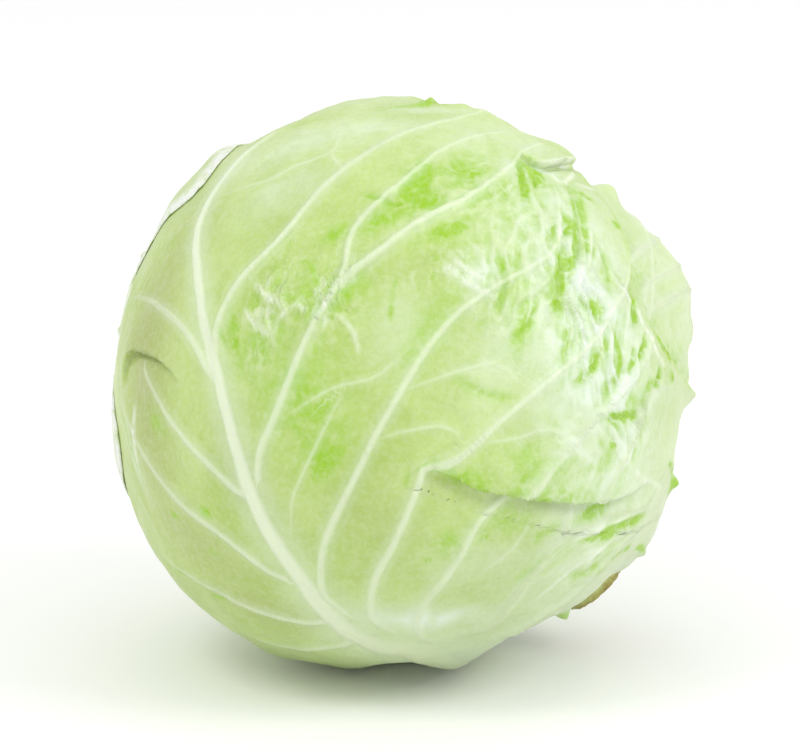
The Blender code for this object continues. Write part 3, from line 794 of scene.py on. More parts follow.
class Finish:
    """A material's node tree, with short methods that add and join its nodes."""

    def __init__(self, name: str) -> None:
        """Makes the material, with a Principled shader ready."""
        self.material = bpy.data.materials.new(name)
        self.material.use_nodes = True
        self.tree = self.material.node_tree
        self.shader = self.tree.nodes["Principled BSDF"]
        self.object_coords = self.node("ShaderNodeTexCoord").outputs["Object"]

    def node(self, kind: str, **settings: object) -> bpy.types.Node:
        """Adds a node with these properties."""
        made = self.tree.nodes.new(kind)
        for key, value in settings.items():
            setattr(made, key, value)
        return made

    def put(self, value: object, socket: bpy.types.NodeSocket) -> None:
        """Sets a socket to a value, or links another socket to it."""
        if isinstance(value, bpy.types.NodeSocket):
            self.tree.links.new(value, socket)
        else:
            socket.default_value = value

    def math(self, operation: str, a: object, b: object = 0.0, clamp: bool = False) -> bpy.types.NodeSocket:
        """The result of one arithmetic step."""
        made = self.node("ShaderNodeMath", operation=operation, use_clamp=clamp)
        self.put(a, made.inputs[0])
        self.put(b, made.inputs[1])
        return made.outputs[0]

    def mix(self, share: object, a: object, b: object) -> bpy.types.NodeSocket:
        """A colour between a and b."""
        made = self.node("ShaderNodeMix", data_type="RGBA", clamp_factor=True)
        self.put(share, made.inputs["Factor"])
        self.put(a, made.inputs["A"])
        self.put(b, made.inputs["B"])
        return made.outputs["Result"]

    def remap(
        self, value: object, low: object, high: object, out: tuple[float, float]
    ) -> bpy.types.NodeSocket:
        """The value's smooth run from low to high, as a run between the two outputs."""
        made = self.node("ShaderNodeMapRange", interpolation_type="SMOOTHSTEP")
        self.put(value, made.inputs["Value"])
        self.put(low, made.inputs["From Min"])
        self.put(high, made.inputs["From Max"])
        made.inputs["To Min"].default_value, made.inputs["To Max"].default_value = out
        return made.outputs["Result"]

    def noise(
        self, size_mm: float, detail: float = 3.0, warp: float = 0.0, seed: float = 0.0, stretch: float = 1.0
    ) -> bpy.types.NodeSocket:
        """Soft noise with features about this size, drawn out this many times along a steep slant."""
        shifted = self.node("ShaderNodeMapping")
        shifted.inputs["Rotation"].default_value = (0, math.radians(-25), 0)
        shifted.inputs["Scale"].default_value = (1, 1, 1 / stretch)
        shifted.inputs["Location"].default_value = (seed * 0.37, seed * 0.71, seed * 0.13)
        self.put(self.object_coords, shifted.inputs["Vector"])
        made = self.node("ShaderNodeTexNoise")
        self.put(shifted.outputs["Vector"], made.inputs["Vector"])
        made.inputs["Scale"].default_value = 1 / (size_mm * MM)
        made.inputs["Detail"].default_value = detail
        made.inputs["Distortion"].default_value = warp
        return made.outputs["Fac"]

    def network(self, size_mm: float, warp_mm: float) -> bpy.types.NodeSocket:
        """Distance from the walls of a net of cells about this size, its lines bent by noise."""
        wander = self.node("ShaderNodeTexNoise")
        self.put(self.object_coords, wander.inputs["Vector"])
        wander.inputs["Scale"].default_value = 1 / (2.2 * size_mm * MM)
        centred = self.node("ShaderNodeVectorMath", operation="SUBTRACT")
        self.put(wander.outputs["Color"], centred.inputs[0])
        centred.inputs[1].default_value = (0.5, 0.5, 0.5)
        scaled = self.node("ShaderNodeVectorMath", operation="SCALE")
        self.put(centred.outputs[0], scaled.inputs[0])
        scaled.inputs["Scale"].default_value = 2 * warp_mm * MM
        moved = self.node("ShaderNodeVectorMath", operation="ADD")
        self.put(self.object_coords, moved.inputs[0])
        self.put(scaled.outputs[0], moved.inputs[1])
        cells = self.node("ShaderNodeTexVoronoi", feature="DISTANCE_TO_EDGE")
        self.put(moved.outputs[0], cells.inputs["Vector"])
        cells.inputs["Scale"].default_value = 1 / (size_mm * MM)
        return cells.outputs["Distance"]

    def attribute(self, name: str) -> bpy.types.Node:
        """The node that reads one of the mesh's own attributes."""
        return self.node("ShaderNodeAttribute", attribute_name=name)

    def bump(self, height: object, depth_mm: float, under: object = None) -> bpy.types.NodeSocket:
        """A bump of this depth where the height runs from 0 to 1, over another bump."""
        made = self.node("ShaderNodeBump")
        made.inputs["Strength"].default_value = 1.0
        made.inputs["Distance"].default_value = depth_mm * MM
        self.put(height, made.inputs["Height"])
        if under is not None:
            self.put(under, made.inputs["Normal"])
        return made.outputs["Normal"]

    def join(self, colour: object, roughness: object, normal: object) -> None:
        """Joins the finished colour, roughness and bump to the shader."""
        self.put(colour, self.shader.inputs["Base Color"])
        self.put(roughness, self.shader.inputs["Roughness"])
        self.put(normal, self.shader.inputs["Normal"])


@dataclass(frozen=True)
class LeafFinish:
    """Waxy cabbage leaf: green lamina, pale veins with a fine net between them, and a thin bright rim."""

    name: str
    lamina: tuple[int, int, int] = (185, 206, 124)
    deep: tuple[int, int, int] = (160, 186, 82)
    # Saturated green: the leaf's own green places and rim, and the painted shade in creases, valleys, wrinkle
    # troughs and hollows.
    saturated: tuple[int, int, int] = (146, 191, 0)
    pale: tuple[int, int, int] = (219, 231, 216)
    olive: tuple[int, int, int] = (160, 171, 98)
    vein: tuple[int, int, int] = (219, 228, 202)
    base: tuple[int, int, int] = (197, 208, 178)
    # Whitish: the left leaf's dried margin, and the painted highlight of glints, ridges and wrinkle crests.
    whitish: tuple[int, int, int] = (230, 234, 222)
    rib_base: tuple[int, int, int] = (194, 206, 164)
    roughness: float = 0.4
    glossy: float = 0.22

    def vein_share(self, finish: Finish, layer: Layer, sharp: float, soft: float) -> tuple[object, object]:
        """How much of the vein's colour shows, and of the pale leaf beside it, from one layer's numbers."""
        split = finish.node("ShaderNodeSeparateXYZ")
        finish.put(finish.attribute(layer.value).outputs["Vector"], split.inputs[0])
        away = finish.math("DIVIDE", finish.math("ABSOLUTE", split.outputs[0]), split.outputs[1])
        inside = finish.remap(away, sharp, soft, (1, 0))
        beside = finish.remap(away, 0.8, 4.5, (1, 0))
        strength = split.outputs[2]
        return finish.math("MULTIPLY", inside, strength), finish.math("MULTIPLY", beside, strength)

    def lamina_colour(self, finish: Finish) -> bpy.types.NodeSocket:
        """The leaf between its veins: mottled greens, deeper, paler or duller in places."""
        green, pale, olive, stalkward = (
            finish.attribute(name).outputs["Fac"] for name in ("green", "pale", "olive", "stalkward")
        )
        broad = finish.remap(finish.noise(34, 2, 0.4), 0.35, 0.65, (0, 0.6))
        mottled = finish.remap(finish.noise(8, 5, 0.8, 1), 0.42, 0.72, (0, 0.4))
        specks = finish.remap(finish.noise(1.6, 3, 0.5, 6), 0.35, 0.7, (0, 0.12))
        colour = finish.mix(broad, srgb(*self.lamina), srgb(*self.deep))
        colour = finish.mix(mottled, colour, srgb(*self.deep))
        colour = finish.mix(olive, colour, srgb(*self.olive))
        colour = finish.mix(finish.math("MULTIPLY", stalkward, 0.75), colour, srgb(*self.base))
        # Paler places, broken up by noise; those at the glossy places upper left and upper middle are painted
        # highlight.
        pale_breakup = finish.remap(finish.noise(11, 4, 0.9, 11), 0.3, 0.62, (0.6, 1.1))
        colour = finish.mix(finish.math("MULTIPLY", pale, pale_breakup), colour, srgb(*self.pale))
        # Deeper green from the green attribute: the leaf's own green patches, and painted shade in creases,
        # valleys, wrinkle troughs and under the long fold.
        ragged = finish.remap(finish.noise(5, 5, 0.9, 2), 0.3, 0.6, (0.5, 2.0))
        colour = finish.mix(finish.math("MULTIPLY", green, ragged), colour, srgb(*self.saturated))
        return finish.mix(specks, colour, srgb(*self.pale))

    def paint_glints_and_hollow_shade(self, finish: Finish, colour: object, gloss_and_glints: object) -> bpy.types.NodeSocket:
        """The colour with painted highlight, small white glints, and painted shade, deeper green in the
        hollows between them, of crumpled film in the glossy places.
        """
        # Painted highlight: white glints; painted shade: deeper green hollows between them.
        glints = finish.remap(finish.noise(3.2, 4, 0.5, 13, stretch=3.2), 0.5, 0.66, (0, 0.5))
        hollow_shade = finish.remap(finish.noise(4, 4, 0.5, 21, stretch=2.4), 0.5, 0.64, (0, 0.8))
        colour = finish.mix(finish.math("MULTIPLY", hollow_shade, gloss_and_glints), colour, srgb(*self.saturated))
        return finish.mix(finish.math("MULTIPLY", glints, gloss_and_glints), colour, srgb(*self.whitish))

    def make(self) -> bpy.types.Material:
        """Makes the material."""
        finish = Finish(self.name)
        # Glossy places: a lower roughness, and painted glints with painted shade between them.
        gloss_and_glints = finish.attribute("gloss_and_glints").outputs["Fac"]
        rim = finish.attribute("rim").outputs["Fac"]
        white = finish.attribute("white").outputs["Fac"]

        net = finish.remap(finish.network(4.6, 2.2), 0.01, 0.09, (1, 0))
        lines = finish.math("ADD", finish.attribute("pale").outputs["Fac"], 0.2)
        lines = finish.math("MULTIPLY", net, finish.math("MULTIPLY", lines, 0.12))
        # The glossy places get painted glints of highlight and painted shade in their hollows.
        colour = self.paint_glints_and_hollow_shade(finish, self.lamina_colour(finish), gloss_and_glints)
        colour = finish.mix(lines, colour, srgb(*self.vein))

        core, halo = self.vein_share(finish, Layer.MIDRIB, 0.5, 1.2)
        for layer, strength in ((Layer.EVEN, 0.72), (Layer.ODD, 0.72), (Layer.FINE, 0.4)):
            share, beside = self.vein_share(finish, layer, 0.3, 1.5)
            core = finish.math("MAXIMUM", core, finish.math("MULTIPLY", share, strength))
            halo = finish.math("MAXIMUM", halo, finish.math("MULTIPLY", beside, strength))
        colour = finish.mix(finish.math("MULTIPLY", halo, 0.3), colour, srgb(*self.pale))
        stalkward = finish.attribute("stalkward").outputs["Fac"]
        at_base = finish.math("MULTIPLY", stalkward, 2.2, True)
        rib = finish.mix(at_base, srgb(*self.vein), srgb(*self.rib_base))
        colour = finish.mix(finish.math("MULTIPLY", core, 0.85), colour, rib)
        # Whitened places: the left leaf's dried margin, and painted highlight along ridges and up wrinkle
        # crests.
        streaks = finish.remap(finish.noise(4, 4, 0.8, 17), 0.3, 0.6, (0.45, 1.1))
        colour = finish.mix(finish.math("MULTIPLY", white, streaks), colour, srgb(*self.whitish))
        breaks = finish.remap(finish.noise(7, 3, 0.5, 12), 0.35, 0.6, (0.1, 1))
        colour = finish.mix(finish.math("MULTIPLY", rim, breaks), colour, srgb(*self.saturated))

        crinkles = finish.remap(finish.noise(4, 4, 0.9, 13, stretch=3.0), 0.35, 0.65, (0, 1))
        bumps = finish.bump(net, 0.03)
        bumps = finish.bump(finish.noise(3.2, 5, 0.5, 3), 0.4, bumps)
        bumps = finish.bump(finish.math("MULTIPLY", crinkles, gloss_and_glints), 0.6, bumps)
        bumps = finish.bump(finish.noise(0.6, 2, 0, 4), 0.03, bumps)
        duller_and_shinier = (self.roughness - 0.08, self.roughness + 0.08)
        waxy = finish.remap(finish.noise(12, 3, 0.4, 5), 0.3, 0.7, duller_and_shinier)
        polished = finish.node("ShaderNodeMix", data_type="FLOAT")
        finish.put(gloss_and_glints, polished.inputs["Factor"])
        finish.put(waxy, polished.inputs["A"])
        polished.inputs["B"].default_value = self.glossy
        finish.join(colour, polished.outputs["Result"], bumps)
        finish.shader.inputs["Subsurface Weight"].default_value = 0.25
        finish.shader.inputs["Subsurface Radius"].default_value = (1.0, 1.0, 0.45)
        finish.shader.inputs["Subsurface Scale"].default_value = 2 * MM
        finish.shader.inputs["Coat Weight"].default_value = 0.12
        finish.shader.inputs["Coat Roughness"].default_value = 0.25
        return finish.material


@dataclass(frozen=True)
class StalkFinish:
    """The stub of the stalk: pale green bark, and a cut face dried to olive brown."""

    name: str = "cut_stalk_skin"
    bark: tuple[int, int, int] = (190, 202, 132)
    dried: tuple[int, int, int] = (158, 150, 66)
    scorched: tuple[int, int, int] = (120, 98, 48)
    pith: tuple[int, int, int] = (205, 200, 150)

    def make(self) -> bpy.types.Material:
        """Makes the material."""
        finish = Finish(self.name)
        cut = finish.attribute("cut").outputs["Fac"]
        ring = finish.attribute("ring").outputs["Fac"]
        spots = finish.remap(finish.noise(2.4, 5, 0.6), 0.42, 0.68, (0, 1))
        face = finish.mix(finish.remap(ring, 0.45, 0.75, (0, 1)), srgb(*self.pith), srgb(*self.dried))
        face = finish.mix(finish.math("MULTIPLY", spots, 0.7), face, srgb(*self.scorched))
        side = finish.mix(finish.math("MULTIPLY", spots, 0.6), srgb(*self.bark), srgb(*self.dried))
        colour = finish.mix(cut, side, face)
        fibres = finish.bump(finish.noise(1.1, 5, 0.8, 7), 0.5)
        bumps = finish.bump(finish.noise(5, 3, 0, 8), 1.0, fibres)
        finish.join(colour, finish.remap(spots, 0, 1, (0.6, 0.85)), bumps)
        return finish.material


FRONT_OUTLINE = [
    polar(10.6, -15), polar(10.6, 20), polar(13, 50), polar(20, 72), polar(29, 86), limb(337, -5),
    limb(344, -4), limb(351, -3), limb(357, -1), (86, 4.5), (81.5, 13), (74, 24), (71.5, 30), (68.5, 50),
    (60, 62), (55, 69), (44, 76.5), (29.5, 83.2), (18, 86.8), (8, 88.6),
    polar(129.6, 168), polar(139, -179), polar(146.5, -157),
    polar(151, -130), polar(146, -104), polar(136, -88), polar(123, -80), polar(105, -78),
    polar(85, -78), polar(65, -79), polar(45, -81), polar(28, -84), polar(16, -72), polar(11.6, -45),
]

FRONT_MIDRIB = [
    polar(11.5, -44), limb(303, -18), limb(292, -13), limb(283, -6), (6, -85), (-5, -83.3), (-14.5, -79),
    (-23, -72), (-31, -61.5), (-38.5, -51), (-45, -39.5), (-51.5, -21), (-57.5, 4), (-62.5, 26),
    (-64, 38.5), (-63.5, 49.5), (-60, 58), (-52, 69), (-40, 78.5), (-28, 83),
]

FRONT_VEINS = [
    # Right of the midrib, from the tip to the base
    [(-58, 8), (-57, 17), (-52, 29), (-35.5, 47.5), (-22, 63), (0, 77.5), (15.5, 82), (25.5, 84)],
    [(-45, -30), (-43.5, -21), (-38, -7.5), (-27.5, 17.5), (-18, 33.5), (-16.5, 42), (-13, 50.5), (-1.5, 61),
     (15, 74), (32, 78.5)],
    [(-19, 32), (-7, 41), (5, 50), (20.5, 58), (34.7, 67.6), (37, 71.4), (43, 73.8)],
    [(-17.5, -72), (-23, -66.5), (-24.5, -61.5), (-23, -48.5), (-12, -25), (-4.5, -10.5), (10, 13),
     (23.5, 26.5), (46, 40), (49, 50.5), (48.5, 59)],
    [(-2, -78), (-7, -75), (-9, -71), (-8, -61.5), (-1.5, -49), (5.5, -32.5), (7.2, -26.7),
     (12.2, -25.2), (20.6, -20.8), (33, -10), (47, 1.5), (58.5, 11.5), (66.3, 23.6), (70.3, 31), (70.3, 45)],
    [(8.5, -81), (5.5, -77), (6.5, -70), (18, -55), (25, -42.5), (35.5, -34), (50, -22.7), (61.9, -10.2),
     (71.6, -0.8), (75.9, 6.4), (78.1, 14.2)],
    [(18, -79), (27.5, -76), (36, -67), (47, -52), (55, -46), (65, -41), (76.5, -37.5), (83.4, -25)],
    [(51.3, -47.3), (52.8, -39.8), (54, -37.3)],
    [(31.3, -80), (44, -73), (56, -65), (67, -52.5), (77.5, -42)],
    [(61, -35.5), (66.3, -26.4), (74, -14.5), (76, -7.3), (77.2, -3), (84, -1)],
    # Left of the midrib, from the tip to the base
    [(-58.5, 2), (-65, 15), (-76, 25), (-82, 27)],
    [(-48, -35.5), (-61, -23.5), (-72, -10.5), (-79.5, 5)],
    [(-36.5, -61.5), (-54.5, -48), (-70.5, -35), (-82.5, -17), (-86.5, -6.5)],
    [(-24, -75), (-44, -71), (-61, -62.5), (-70.5, -56.5)],
    [(-15, -81), (-34.5, -82.5), (-44, -80)],
]

FRONT_FINE_VEINS = [
    [(-52.5, 60.8), (-41.3, 64.2), (-34, 68.3), (-21.9, 72.7), (-19, 78.6)],
    [(-21.9, 72.7), (-18.4, 67.3)],
    [(-35.3, -9.8), (-24, -2.7), (-18, -0.2), (-8, 2), (0, 8.6)],
    [(-34.4, -47.3), (-34, -36.7), (-30, -27), (-21.5, -9.2), (-17.5, -2)],
    [(-5.3, -16.7), (3.8, -14.5), (14.4, -13.3), (20, -18)],
    [(27.5, -18), (37.5, -16.7), (44.4, -14.2), (50.6, -15.5), (53.4, -17.3)],
    [(1.3, -2), (12.2, 2), (23.4, 5.5), (30.3, 6.4), (36, 2)],
    [(27, -58.6), (36, -51), (40.6, -43.6)],
    [(55.6, 27), (56.6, 36), (55.6, 52.3), (53, 60.5)],
    [(71.9, -27.3), (75, -23.3), (81.3, -17.3), (83.4, -10.8), (84.4, -3)],
]

FRONT_FOLDS = [
    Fold([(11, -24), (13, -26.5), (18.8, -27.6), (25, -30.4), (36.3, -31), (47.2, -32.4), (55, -33.2),
          (63.4, -33), (69, -32.8), (74.7, -31.4), (78.1, -29.6)]),
    Fold([(36, 72.5), (42.5, 69.2), (48, 70.2), (55.5, 69.8)], 2.6 * MM, 6 * MM, 2.5 * MM, 1 * MM, 1.5 * MM),
    Fold([(-87, -1), (-86.4, 7), (-83.8, 11.4), (-81, 12), (-75.5, 9.8), (-71, 5), (-68.5, -1)],
         2.0 * MM, 8 * MM, 2.0 * MM, 0.9 * MM, 1.3 * MM),
]

FRONT_CREASES = [
    Crease([(52.4, 62.5), (55.3, 54.2), (55.6, 38)], 2.4 * MM, 1.8 * MM, 8 * MM, 1.0),
    Crease([(36.9, 70), (38, 64), (39.4, 57)], 1.8 * MM, 1.3 * MM, 7 * MM, 1.0),
    Crease([(41.9, 65), (42.5, 60.5)], 1.2 * MM, 0.7 * MM, 4 * MM, 0.9),
    Crease([(50.5, 47), (50.2, 36), (49.5, 22)], 1.3 * MM, 1.4 * MM, 6 * MM, 0.7),
    Crease([(57.5, 44), (58.5, 36.5)], 1.0 * MM, 0.8 * MM, 5 * MM, 0.7),
    Crease([(55.3, 59.6), (58.7, 56.8)], 1.0 * MM, 0.7 * MM, 4 * MM, 0.9),
    Crease([(71.5, 29.5), (72.5, 23), (73.3, 17)], 1.6 * MM, 0.9 * MM, 6 * MM, 1.0),
    Crease([(73, 11.5), (71, 2.7)], 1.2 * MM, 0.8 * MM, 5 * MM, 0.8),
    Crease([(76.5, 15.6), (74, 7)], 1.2 * MM, 0.8 * MM, 4 * MM, 0.8),
    Crease([(81.5, 11.7), (84, 6.5)], 1.4 * MM, 0.8 * MM, 5 * MM, 1.0),
    Crease([(81, 5.5), (79, -1.7)], 1.4 * MM, 0.8 * MM, 4 * MM, 1.0),
    Crease([(62, -11), (68, -10.6), (74.4, -9.2)], 1.6 * MM, 1.2 * MM, 6 * MM, 0.8),
    Crease([(83.4, -24.5), (85.3, -31.4)], 1.2 * MM, 0.8 * MM, 4 * MM, 1.0),
    Crease([(59.4, -49.2), (68.8, -44.8), (76.6, -40.8)], 0.8 * MM, 1.4 * MM, 6 * MM, 0.8),
    Crease([(53, -62), (60, -57.5), (66, -53)], 1.2 * MM, 1.4 * MM, 6 * MM, 0.4),
    Crease([(9, -27.5), (14, -29.4), (22, -31)], 0.5 * MM, 1.2 * MM, 4 * MM, 0.3),
    Crease([(0.9, -33), (3, -28.5), (5.9, -26), (10.6, -24.3)], 0.5 * MM, 0.7 * MM, 4 * MM, 0.4),
    Crease([(64, 14), (60, 5), (54, -1)], 1.0 * MM, 1.2 * MM, 6 * MM, 0.5),
    Crease([(30, 40), (33, 30), (29, 22)], 0.9 * MM, 1.2 * MM, 7 * MM, 0.5),
    Crease([(43, 30), (41, 20), (36, 13)], 0.8 * MM, 1.1 * MM, 6 * MM, 0.5),
    Crease([(-12, 60), (-2, 56), (6, 57)], 0.8 * MM, 1.0 * MM, 6 * MM, 0.6),
    Crease([(60, 47), (64, 38), (66, 30)], 0.9 * MM, 1.0 * MM, 5 * MM, 0.3),
    Crease([(16, 3), (26, -3), (38, -5)], 0.6 * MM, 1.4 * MM, 8 * MM, 0.35),
    Crease([(38, -52), (46, -46), (52, -44)], 0.4 * MM, 1.4 * MM, 6 * MM, 0.35),
    Crease([(-87.3, -8), (-84.5, -20), (-80, -33)], 0.5 * MM, 0.9 * MM, 4 * MM, 0.3),
    Crease([(-79, -52), (-72.5, -57), (-66, -60)], 0.6 * MM, 1.2 * MM, 6 * MM, 0.3),
]

FRONT_LUMPS = [
    Lump((46, 74.5), (9, 4.5), -25, 1.2),
    Lump((49, 65.6), (8, 3), -5, 0.6),
    Lump((61.5, 56), (7, 6), -35, 1.5),
    Lump((83.5, 1.8), (2.4, 2.8), 20, 1.5),
    Lump((9.4, 88), (1.4, 1.6), 0, 1.6),
    Lump((13.3, 88), (1.2, 1.6), 0, 1.5),
    Lump((19, 86.3), (3.5, 1.8), -8, 1.0),
    Lump((25, 84.4), (3.5, 2), -20, 0.9),
    Lump(limb(305, 2), (4.5, 2.8), 0, 4.4),
    Lump((76.2, -53.4), (2, 1.6), 20, 1.5),
    Lump((37, -27.5), (13, 4), -6, 0.9),
    Lump(limb(340.3, 2), (4, 2.2), 0, 2.6),
    Lump((-63, 12), (7, 12), 10, 0.8),
    Lump((-37, 26), (10, 14), -35, 1.0),
    Lump((30, 12), (11, 8), 30, 0.9),
    Lump((13, 37), (9, 8), 20, 0.8),
    Lump((62, 10), (5, 11), -10, 0.9),
]

FRONT_CRUMPLES = [
    Crumple((59, 27), (36, 14), 97, 1.5, (15.0, 5.2), 0.6),
    Crumple((71, -12), (22, 12), 72, 1.2, (13.0, 5.0), 0.5),
    Crumple((63, -50), (20, 10), 38, 1.0, (16.0, 5.0), 0.45),
    Crumple((34, 36), (22, 16), 60, 0.9, (11.0, 6.0), 0.45),
    Crumple((10, 58), (26, 13), 25, 0.8, (9.0, 6.0), 0.35),
    Crumple((-42, 20), (18, 12), 62, 0.8, (7.0, 4.5), 0.5),
    Crumple((-20, 26), (15, 9), 65, 0.9, (7.0, 4.5), 0.55),
    Crumple((45, -22), (24, 9), 20, 0.7, (12.0, 6.0), 0.3),
    Crumple((-75, 40), (22, 8), 60, 0.4, (12.0, 5.0), 0.2),
    Crumple((-70, -20), (40, 14), -50, 0.4, (18.0, 7.0), 0.1),
    Crumple((5, -45), (40, 30), 60, 0.35, (18.0, 8.0), 0.1),
]

FRONT_GREEN = [
    Patch((5, 63), (10, 4), 65, 1.0),
    Patch((8, 57), (7, 6), -20, 0.7),
    Patch((61.6, -40), (6, 2.2), 25, 1.0),
    Patch((53.8, 46.4), (2.2, 6), 5, 1.0),
    Patch((22, 66), (9, 3.5), 25, 0.5),
    Patch((38, 18), (3, 9), -15, 0.4),
    Patch((52, 12), (2.4, 10), -12, 0.4),
    Patch((-6, 51), (7, 3), 30, 0.6),
    Patch((17, 49), (8, 3), 20, 0.6),
    Patch((30, 60), (10, 5), 25, 0.45),
    Patch((18, 68), (12, 5), 25, 0.45),
    Patch((-20, 47), (5, 3), 20, 0.6),
    Patch((-19, 29), (3.5, 8), -28, 0.6),
    Patch((-30, 27), (7, 8), 10, 0.2),
    Patch((-52, 15), (2.4, 9), 12, 0.5),
    Patch((-30, -8), (13, 20), 25, 0.45),
    Patch((-24, -24), (10, 5), 35, 0.6),
    Patch((8, 14), (5, 14), -30, 0.3),
    Patch((38, -25), (16, 5), -5, 0.25),
    Patch((34, -44), (10, 6), 10, 0.3),
    Patch((30, -43), (20, 6), 35, 0.25),
    # The next two: painted shade, as deeper green, under the long fold's lip.
    Patch((20, -27.6), (10, 2.4), -12, 0.7),
    Patch((44, -31), (16, 2), -4, 0.5),
    Patch((49, 27), (3, 8), 0, 0.6),
    Patch((56.5, 46), (2.2, 10), -5, 0.6),
    Patch((41, 66), (4, 6), 0, 0.9),
    Patch((50, 73), (10, 2), -38, 0.4),
    Patch((60.6, 23.6), (2.2, 1.4), -40, 0.8),
    Patch((67.5, 49.6), (1.8, 1.2), -20, 1.0),
    Patch((57.5, 57.5), (3, 1.0), -35, 0.9),
    Patch((83.8, 2), (1.2, 1.6), 20, 1.0),
    Patch(limb(340.3, 3), (5, 4), 0, 1.0),
    Patch(limb(344, 5), (4, 3), 0, 0.8),
    Patch(limb(305, 1), (6, 4), 0, 1.0),
    Patch((54.5, -71.5), (4.5, 2.6), -35, 1.0),
    Patch((71, -52), (2.4, 1.2), 10, 1.0),
    Patch((12, 87.6), (14, 1.8), -4, 0.9),
    Patch((27.3, -48), (0.8, 0.6), 0, 0.9),
    Patch((8.8, -55.5), (1.0, 0.5), -20, 0.9),
    Patch((16, -50), (5, 5), 0, 0.35),
    Patch((66.5, -19), (0.9, 0.8), 0, 0.9),
    Patch((-22.8, -50.6), (1.7, 0.5), -5, 0.9),
    Patch((-61, -40.5), (2.4, 1.6), -30, 0.7),
    Patch((-77, -12), (3, 5), 20, 0.35),
    Patch((-71, -41), (2, 1), -30, 0.8),
    Patch((-59, -53), (2, 1), -30, 0.6),
    Patch((-57, -67), (3, 1), -20, 0.7),
]

FRONT_PALE = [
    Patch((62, 14), (26, 60), 8, 1.0),
    Patch((34, 14), (14, 22), -30, 0.5),
    Patch((0, 18), (10, 14), -20, 0.3),
    Patch((-22, 79), (34, 10), 22, 0.45),
    Patch((-36, 62), (14, 9), 30, 0.4),
    # The next two lie at the lamps' highlights: painted highlight.
    Patch((-42, 18), (6, 16), -10, 0.25),
    Patch((25, 35.5), (9, 8), 20, 0.8),
    Patch((45.5, 66.5), (8, 3), -10, 1.0),
    Patch((8, 86), (20, 4), -5, 0.4),
    Patch((8, -74), (18, 6), 0, 0.9),
    Patch((62, -52), (26, 9), 40, 0.55),
    Patch((72, -8), (9, 20), 0, 0.4),
    Patch((-84, -22), (2.5, 12), 8, 0.6),
    Patch((24, -56), (22, 10), 10, 0.22),
]

FRONT_OLIVE = [
    Patch((-80, 5), (14, 44), 0, 0.95),
    Patch((-66, -48), (28, 15), -48, 0.55),
    Patch((-45, -70), (26, 10), -30, 0.5),
    Patch((-50, -28), (10, 26), 25, 0.35),
    # The next two: painted shade, as duller green, under the long fold's lip.
    Patch((16, -31), (9, 3), -10, 0.7),
    Patch((40, -39), (24, 2.6), -5, 0.5),
    Patch((-10, -40), (18, 26), 25, 0.25),
    Patch((35, -52), (24, 14), 40, 0.25),
]

# Glossy places: lower roughness and crinkle bumps, with painted glints of highlight and painted shade in
# their hollows.
FRONT_GLOSS_AND_GLINTS = [
    Patch((-42, 24), (7, 18), -10, 0.7),
    Patch((-22, 28), (7, 13), -25, 0.9),
    Patch((14, 38), (14, 8), 20, 0.6),
    Patch((28, 26), (8, 12), -20, 0.4),
    Patch((-76, 50), (12, 18), 30, 0.4),
    Patch((58, 20), (16, 34), 0, 0.3),
]

LEFT_OUTLINE = [
    polar(11, -100), polar(11, -150), polar(14, 175), polar(22, 158), polar(38, 153), polar(60, 154),
    polar(85, 156), polar(110, 158), polar(126.7, 160), polar(135.2, 167), polar(142.2, 177),
    limb(118, -8), limb(123.5), limb(127, 8), limb(131, 15), limb(136, 19), limb(140, 17), limb(145, 12),
    limb(149, 9.5), limb(153, 10.5), limb(156.5, 9.5), limb(159.5, 5), limb(162.5), limb(168, -3),
    limb(174, -1), limb(178, 4), limb(182, 8.5), limb(187, 12), limb(193, 12), limb(197, 8), limb(200, 3),
    limb(203, -3), limb(207, -9), limb(215, -15), limb(225, -20), polar(74, -73), polar(54, -76),
    polar(36, -83), polar(22, -88), polar(14, -90),
]

RIGHT_VEINS = [
    [HEAD.seen(72.5, 39, RIGHT_LEVEL), HEAD.seen(77, 42.5, RIGHT_LEVEL), limb(29.5)],
    [HEAD.seen(77, 20, RIGHT_LEVEL), HEAD.seen(84, 25.5, RIGHT_LEVEL), limb(18)],
    [HEAD.seen(76, 26, RIGHT_LEVEL), HEAD.seen(82, 33, RIGHT_LEVEL), limb(23)],
]

RIGHT_OUTLINE = [
    polar(11, 25), polar(11, 70), polar(14, 105), polar(22, 122), polar(45, 128), polar(70, 131),
    polar(95, 134), polar(113, 136), polar(128, 120), polar(133, 90), polar(128, 60), polar(116, 34),
    polar(95, 16), polar(70, 9), polar(45, 8), polar(24, 6), polar(14, 4),
]

BACK_OUTLINE = [
    polar(11, 150), polar(11, -160), polar(14, -125), polar(22, -110), polar(45, -104), polar(70, -102),
    polar(95, -104), polar(118, -112), polar(140, -130), polar(156, -160), polar(163, 165),
    polar(155, 130), polar(138, 114), polar(118, 108), polar(95, 102), polar(70, 99), polar(45, 100),
    polar(24, 106), polar(14, 122),
]
